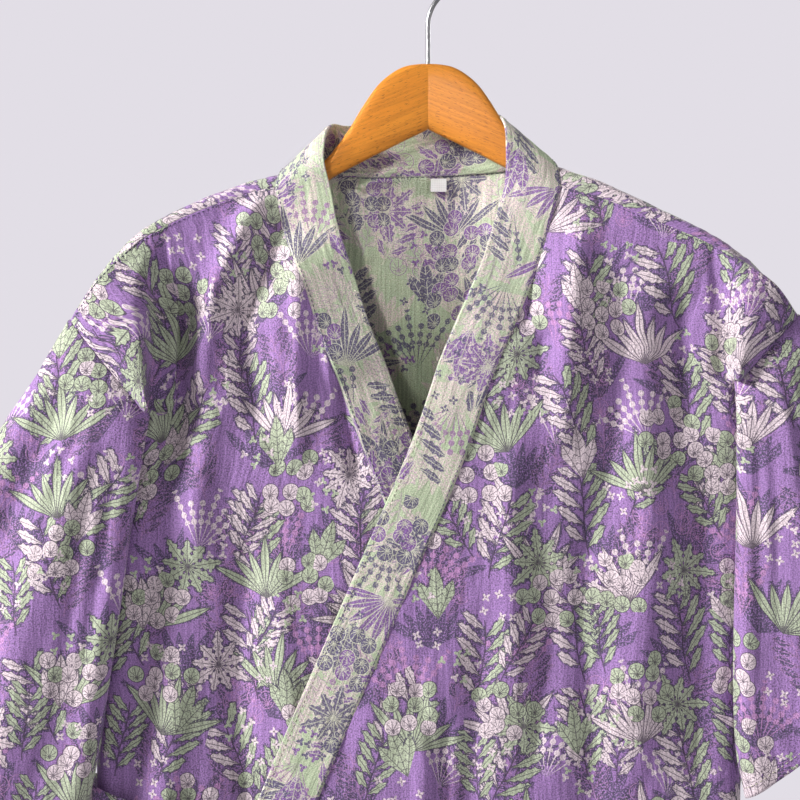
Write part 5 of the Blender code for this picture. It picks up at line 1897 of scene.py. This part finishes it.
def build_hook():
    path = hook_path()
    keys = line_keys(path)
    places = spread((0.0, keys[-1], 1.2))
    path = through(path[:, None], keys, places)[:, 0]
    way = np.gradient(path, axis=0)
    way /= np.linalg.norm(way, axis=1)[:, None]
    across = np.stack([way[:, 2], 0 * way[:, 0], -way[:, 0]], axis=1)
    turns = full_turn(HOOK_POINTS)
    tip = (places[-1] - places) / (HOOK_WIRE / 2)
    radius = HOOK_WIRE / 2 * np.sqrt(np.clip(1 - (1 - np.clip(tip, 0, 1)) ** 2, 0.06, 1))
    forward = np.array((0.0, 1.0, 0.0))
    ring = across[:, None] * np.cos(turns)[None, :, None] + forward * np.sin(turns)[None, :, None]
    rings = path[:, None] + ring * radius[:, None, None]
    around = np.broadcast_to(turns * HOOK_WIRE / 2, rings.shape[:2])
    spots = np.stack([around, np.broadcast_to(places[:, None], around.shape)], axis=2)
    keep(tube("hanger_wire_hook", rings, spots, finish_of("steel_wire_drawn")), "hanger_hook")


def build_label():
    """The bare size label: a small folded tape that curls a little away from the neck."""
    across, down = np.meshgrid(np.linspace(-1, 1, 25), np.linspace(1, -1, 21))
    x = LABEL_PLACE[0] + across * LABEL[0] / 2
    z = LABEL_PLACE[2] + down * LABEL[2] / 2
    y = LABEL_PLACE[1] - 0.1 + 0.35 * across**2 - 0.35 * (1 - down) ** 2 + 0.15 * np.sin(across * 3 + down)
    tape = [finish_of("polyester_woven_tape")] * 2
    piece = shell("size_label_tape", np.stack([x, y, z], axis=2), np.stack([x, z], axis=2), 0.5, 1, tape)
    keep(piece, "size_label")


# Height of each underarm, where the armhole stitches end.
SLEEVE_FOOT = {-1: -345.0, 1: -322.0}


def build_stitching():
    """Stitches: dark along the seams and shoulders, pale along the collar's free edge and the hems."""
    thick = sizes().cloth_thickness / MM
    fronts = coarse_fronts()
    rings, _, outward = band_rings(fronts, back_grid(fronts[-1], fronts[1]))
    dark = [(rings[:, 1] * 0.6 + rings[:, 0] * 0.4, outward)]
    pale = [(rings[:, 13] * 0.7 + rings[:, 14] * 0.3, outward)]
    for side in (-1, 1):
        cloth = front_cloth(side, fronts[side])
        ways = normals_of(cloth, side)
        armhole = int(np.argmin(np.abs(cloth[:, -1, 2] - SLEEVE_FOOT[side])))
        dark.append((cloth[4:armhole, -3], ways[4:armhole, -3]))
        top = cloth[1] * 0.6 + cloth[0] * 0.4
        dark.append((top[2:-2], ways[1][2:-2]))
        pale.append((cloth[-2], ways[-2]))
        sleeve, _ = sleeve_cloth(side)
        pale.append((sleeve[-4], normals_around(sleeve, -side, True)[-4]))
    back = back_cloth(fronts)
    ways = normals_of(back, -1)
    pale.append((back[-2], ways[-2]))
    inside = np.abs(back[3, :, 0] - CENTRE_X) < 84
    dark.append((back[3, inside] - ways[3, inside] * thick, -ways[3, inside]))
    for name, lines, thread in (("seam_stitches", dark, "dark"), ("edge_stitches", pale, "pale")):
        length, gap = sizes().stitch_length / MM, sizes().stitch_gap / MM
        piece = stitches(name, lines, length, gap, STITCH_THICK, finish_of("cotton_thread_" + thread))
        keep(piece, None)


def put(name, data, spot):
    """Puts a lamp, a camera or a mesh into the scene."""
    holder = bpy.data.objects.new(name, data)
    holder.location = spot
    bpy.context.scene.collection.objects.link(holder)
    return holder


def build_stage():
    """Pale floor below the hem, soft light from the wearer's right, and the photograph's camera."""
    scene = bpy.context.scene
    stage = scene.robe_stage
    work = bmesh.new()
    bmesh.ops.create_circle(work, cap_ends=True, segments=96, radius=1.9)
    mesh = bpy.data.meshes.new("floor")
    work.to_mesh(mesh)
    work.free()
    mesh.materials.append(finish_of("painted_board_matt"))
    put("floor", mesh, (0.0, 0.0, -1.5))
    world = bpy.data.worlds.new("studio")
    world.use_nodes = True
    tree = world.node_tree
    seen = tree.nodes["Background"]
    seen.inputs["Color"].default_value = (*stage.backdrop, 1.0)
    lighting = add(tree, "Background", {"Color": (0.90, 0.87, 0.88), "Strength": stage.room_light})
    ray = add(tree, "LightPath")
    both = add(tree, "MixShader", (ray.outputs["Is Camera Ray"], lighting.outputs[0], seen.outputs[0]))
    tree.links.new(both.outputs[0], tree.nodes["World Output"].inputs["Surface"])
    scene.world = world
    for name, spot, aim, size, power, colour, spread_angle in (
        ("key", (-2.3, -0.95, 0.8), (0.0, 0.0, -0.4), 0.7, stage.key_power, (1.0, 0.98, 0.96), math.pi),
        ("fill", (1.8, -1.6, 0.2), (0.0, 0.0, -0.5), 1.4, stage.fill_power, (0.97, 0.98, 1.0), math.pi),
        ("neck", (-0.50, -1.2, 0.25), (-0.005, 0.0, -0.21), 0.15, stage.neck_power, (1.0, 0.97, 0.96), 0.20),
        ("back", (1.6, 2.3, 0.7), (0.0, 0.0, -0.6), 1.2, stage.back_power, (1.0, 0.99, 0.98), math.pi),
    ):
        lamp = bpy.data.lights.new(name, "AREA")
        lamp.shape = "DISK"
        lamp.size = size
        lamp.energy = power
        lamp.color = colour
        lamp.spread = spread_angle
        way = Vector(aim) - Vector(spot)
        put(name, lamp, spot).rotation_euler = way.to_track_quat("-Z", "Y").to_euler()
    camera = bpy.data.cameras.new("camera")
    camera.lens = 85.0
    camera.sensor_width = 36.0
    camera.clip_start = 0.05
    scene.camera = put("camera", camera, (-0.0211, -1.422, -0.3382))
    scene.camera.rotation_euler = (math.pi / 2, 0.0, 0.0)
    scene.view_settings.view_transform = "Standard"


# Panel, properties and operators


def length_of(label, about, default, least, most):
    return bpy.props.FloatProperty(
        name=label, description=about, default=default, min=least, max=most,
        subtype="DISTANCE", unit="LENGTH", precision=5,
    )


def colour_of(label, about, default):
    return bpy.props.FloatVectorProperty(
        name=label, description=about, default=linear(default), size=3, min=0.0, max=1.0, subtype="COLOR"
    )


def power_of(label, about, default):
    return bpy.props.FloatProperty(
        name=label, description=about, default=default, min=0.0, max=300.0, unit="POWER"
    )


class RobeSizes(bpy.types.PropertyGroup):
    """Sizes of the cloth and its stitches."""

    cloth_thickness: length_of("Cloth", "Thickness of the double gauze", CLOTH_THICK * MM, 0.0003, 0.0015)
    band_thickness: length_of("Collar band", "Thickness of the folded band", BAND_THICK * MM, 0.001, 0.003)
    crinkle_height: length_of("Crinkle", "Height of the washed cloth's ripples", CRINKLE * MM, 0.0, 0.0008)
    stitch_length: length_of("Stitch", "Length of one stitch", 0.0026, 0.001, 0.006)
    stitch_gap: length_of("Stitch gap", "Gap between two stitches", 0.0012, 0.0003, 0.004)
    fold_depth: bpy.props.FloatProperty(
        name="Folds", description="Share of the folds' depth",
        default=1.35, min=0.0, max=1.5, subtype="FACTOR",
    )


class RobeColours(bpy.types.PropertyGroup):
    """Colours of the print's face and reverse, the threads, label, wood, wire and floor."""

    ground: colour_of("Ground", "Ground of the face", "#9A78B1")
    pale_leaf: colour_of("Pale leaves", "Pale leaves and petals on the face", "#DBCCD3")
    green_leaf: colour_of("Green leaves", "Green leaves on the face", "#B4BFA5")
    shade_leaf: colour_of("Shade leaves", "Dark leaves behind the others on the face", "#4C485E")
    leaf_line: colour_of("Leaf lines", "Ribs and edges of the leaves on the face", "#43384A")
    pink_line: colour_of("Pink lines", "Outlined leaves on the face", "#B98ABC")
    reverse_ground: colour_of("Reverse ground", "Ground of the reverse", "#ABBA9C")
    reverse_dark: colour_of("Reverse slate", "Slate leaves on the reverse", "#5A5274")
    reverse_purple: colour_of("Reverse purple", "Purple leaves on the reverse", "#7C5697")
    reverse_pale: colour_of("Reverse pale", "Pale leaves on the reverse", "#D1BFC0")
    reverse_line: colour_of("Reverse lines", "Ribs and edges on the reverse", "#CBCDB8")
    reverse_plum: colour_of("Reverse plum", "Outlined leaves on the reverse", "#94709A")
    dark_thread: colour_of("Dark thread", "Thread of the seams", "#3A3450")
    pale_thread: colour_of("Pale thread", "Thread of the edges and hems", "#C9C6B4")
    label: colour_of("Label", "Woven tape of the size label", "#F2F2F0")
    wood: colour_of("Wood", "Stained wood of the hanger", "#E2912F")
    wire: colour_of("Wire", "Steel wire of the hook", "#A9A9AC")
    floor: colour_of("Floor", "Painted floor", "#E6E3E9")


class RobeStage(bpy.types.PropertyGroup):
    """Light and backdrop."""

    key_power: power_of("Key light", "Power of the main light", 134.0)
    fill_power: power_of("Fill light", "Power of the second light", 6.0)
    neck_power: power_of("Neck light", "Power of the narrow light into the neck", 0.06)
    back_power: power_of("Back light", "Power of the light behind", 28.0)
    room_light: bpy.props.FloatProperty(
        name="Room light", description="Even light from all round", default=0.34, min=0.0, max=3.0
    )
    backdrop: colour_of("Backdrop", "Colour of the room round the robe", "#E2DEE6")


class ROBE_OT_fronts(bpy.types.Operator):
    """Make both fronts"""

    bl_idname = "robe.fronts"
    bl_label = "Fronts"

    def execute(self, context):
        for side in (-1, 1):
            build_front(side)
        return {"FINISHED"}


class ROBE_OT_back(bpy.types.Operator):
    """Make the back"""

    bl_idname = "robe.back"
    bl_label = "Back"

    def execute(self, context):
        build_back()
        return {"FINISHED"}


class ROBE_OT_sleeves(bpy.types.Operator):
    """Make both sleeves"""

    bl_idname = "robe.sleeves"
    bl_label = "Sleeves"

    def execute(self, context):
        for side in (-1, 1):
            build_sleeve(side)
        return {"FINISHED"}


class ROBE_OT_collar(bpy.types.Operator):
    """Make the collar band"""

    bl_idname = "robe.collar"
    bl_label = "Collar band"

    def execute(self, context):
        build_collar()
        return {"FINISHED"}


class ROBE_OT_belt(bpy.types.Operator):
    """Make the belt, its knot and both ends"""

    bl_idname = "robe.belt"
    bl_label = "Belt"

    def execute(self, context):
        build_belt()
        return {"FINISHED"}


class ROBE_OT_stitching(bpy.types.Operator):
    """Make the stitches of the seams, edges and hems"""

    bl_idname = "robe.stitching"
    bl_label = "Stitching"

    def execute(self, context):
        build_stitching()
        return {"FINISHED"}


class ROBE_OT_label(bpy.types.Operator):
    """Make the bare size label"""

    bl_idname = "robe.label"
    bl_label = "Size label"

    def execute(self, context):
        build_label()
        return {"FINISHED"}


class ROBE_OT_hanger(bpy.types.Operator):
    """Make the wooden hanger and its wire hook"""

    bl_idname = "robe.hanger"
    bl_label = "Hanger"

    def execute(self, context):
        build_hanger()
        build_hook()
        return {"FINISHED"}


class ROBE_OT_stage(bpy.types.Operator):
    """Make the floor, the lights and the camera"""

    bl_idname = "robe.stage"
    bl_label = "Stage"

    def execute(self, context):
        build_stage()
        return {"FINISHED"}


class ROBE_PT_panel(bpy.types.Panel):
    """Lists the pieces, sizes and colours of the robe"""

    bl_idname = "ROBE_PT_panel"
    bl_label = "Robe"
    bl_space_type = "VIEW_3D"
    bl_region_type = "UI"
    bl_category = "Robe"

    def draw(self, context):
        for piece in OPERATORS:
            self.layout.operator(piece.bl_idname)
        for group in (context.scene.robe_sizes, context.scene.robe_colours, context.scene.robe_stage):
            box = self.layout.box()
            for name in group.__annotations__:
                box.prop(group, name)


OPERATORS = (
    ROBE_OT_fronts,
    ROBE_OT_back,
    ROBE_OT_sleeves,
    ROBE_OT_collar,
    ROBE_OT_belt,
    ROBE_OT_stitching,
    ROBE_OT_label,
    ROBE_OT_hanger,
    ROBE_OT_stage,
)
GROUPS = {"robe_sizes": RobeSizes, "robe_colours": RobeColours, "robe_stage": RobeStage}


def register():
    for name, group in GROUPS.items():
        bpy.utils.register_class(group)
        setattr(bpy.types.Scene, name, bpy.props.PointerProperty(type=group))
    for kind in (*OPERATORS, ROBE_PT_panel):
        bpy.utils.register_class(kind)


def unregister():
    for kind in (ROBE_PT_panel, *reversed(OPERATORS)):
        bpy.utils.unregister_class(kind)
    for name, group in GROUPS.items():
        delattr(bpy.types.Scene, name)
        bpy.utils.unregister_class(group)


def main():
    register()
    bpy.ops.robe.fronts()
    bpy.ops.robe.back()
    bpy.ops.robe.sleeves()
    bpy.ops.robe.collar()
    bpy.ops.robe.belt()
    bpy.ops.robe.stitching()
    bpy.ops.robe.label()
    bpy.ops.robe.hanger()
    bpy.ops.robe.stage()


if __name__ == "__main__":
    main()
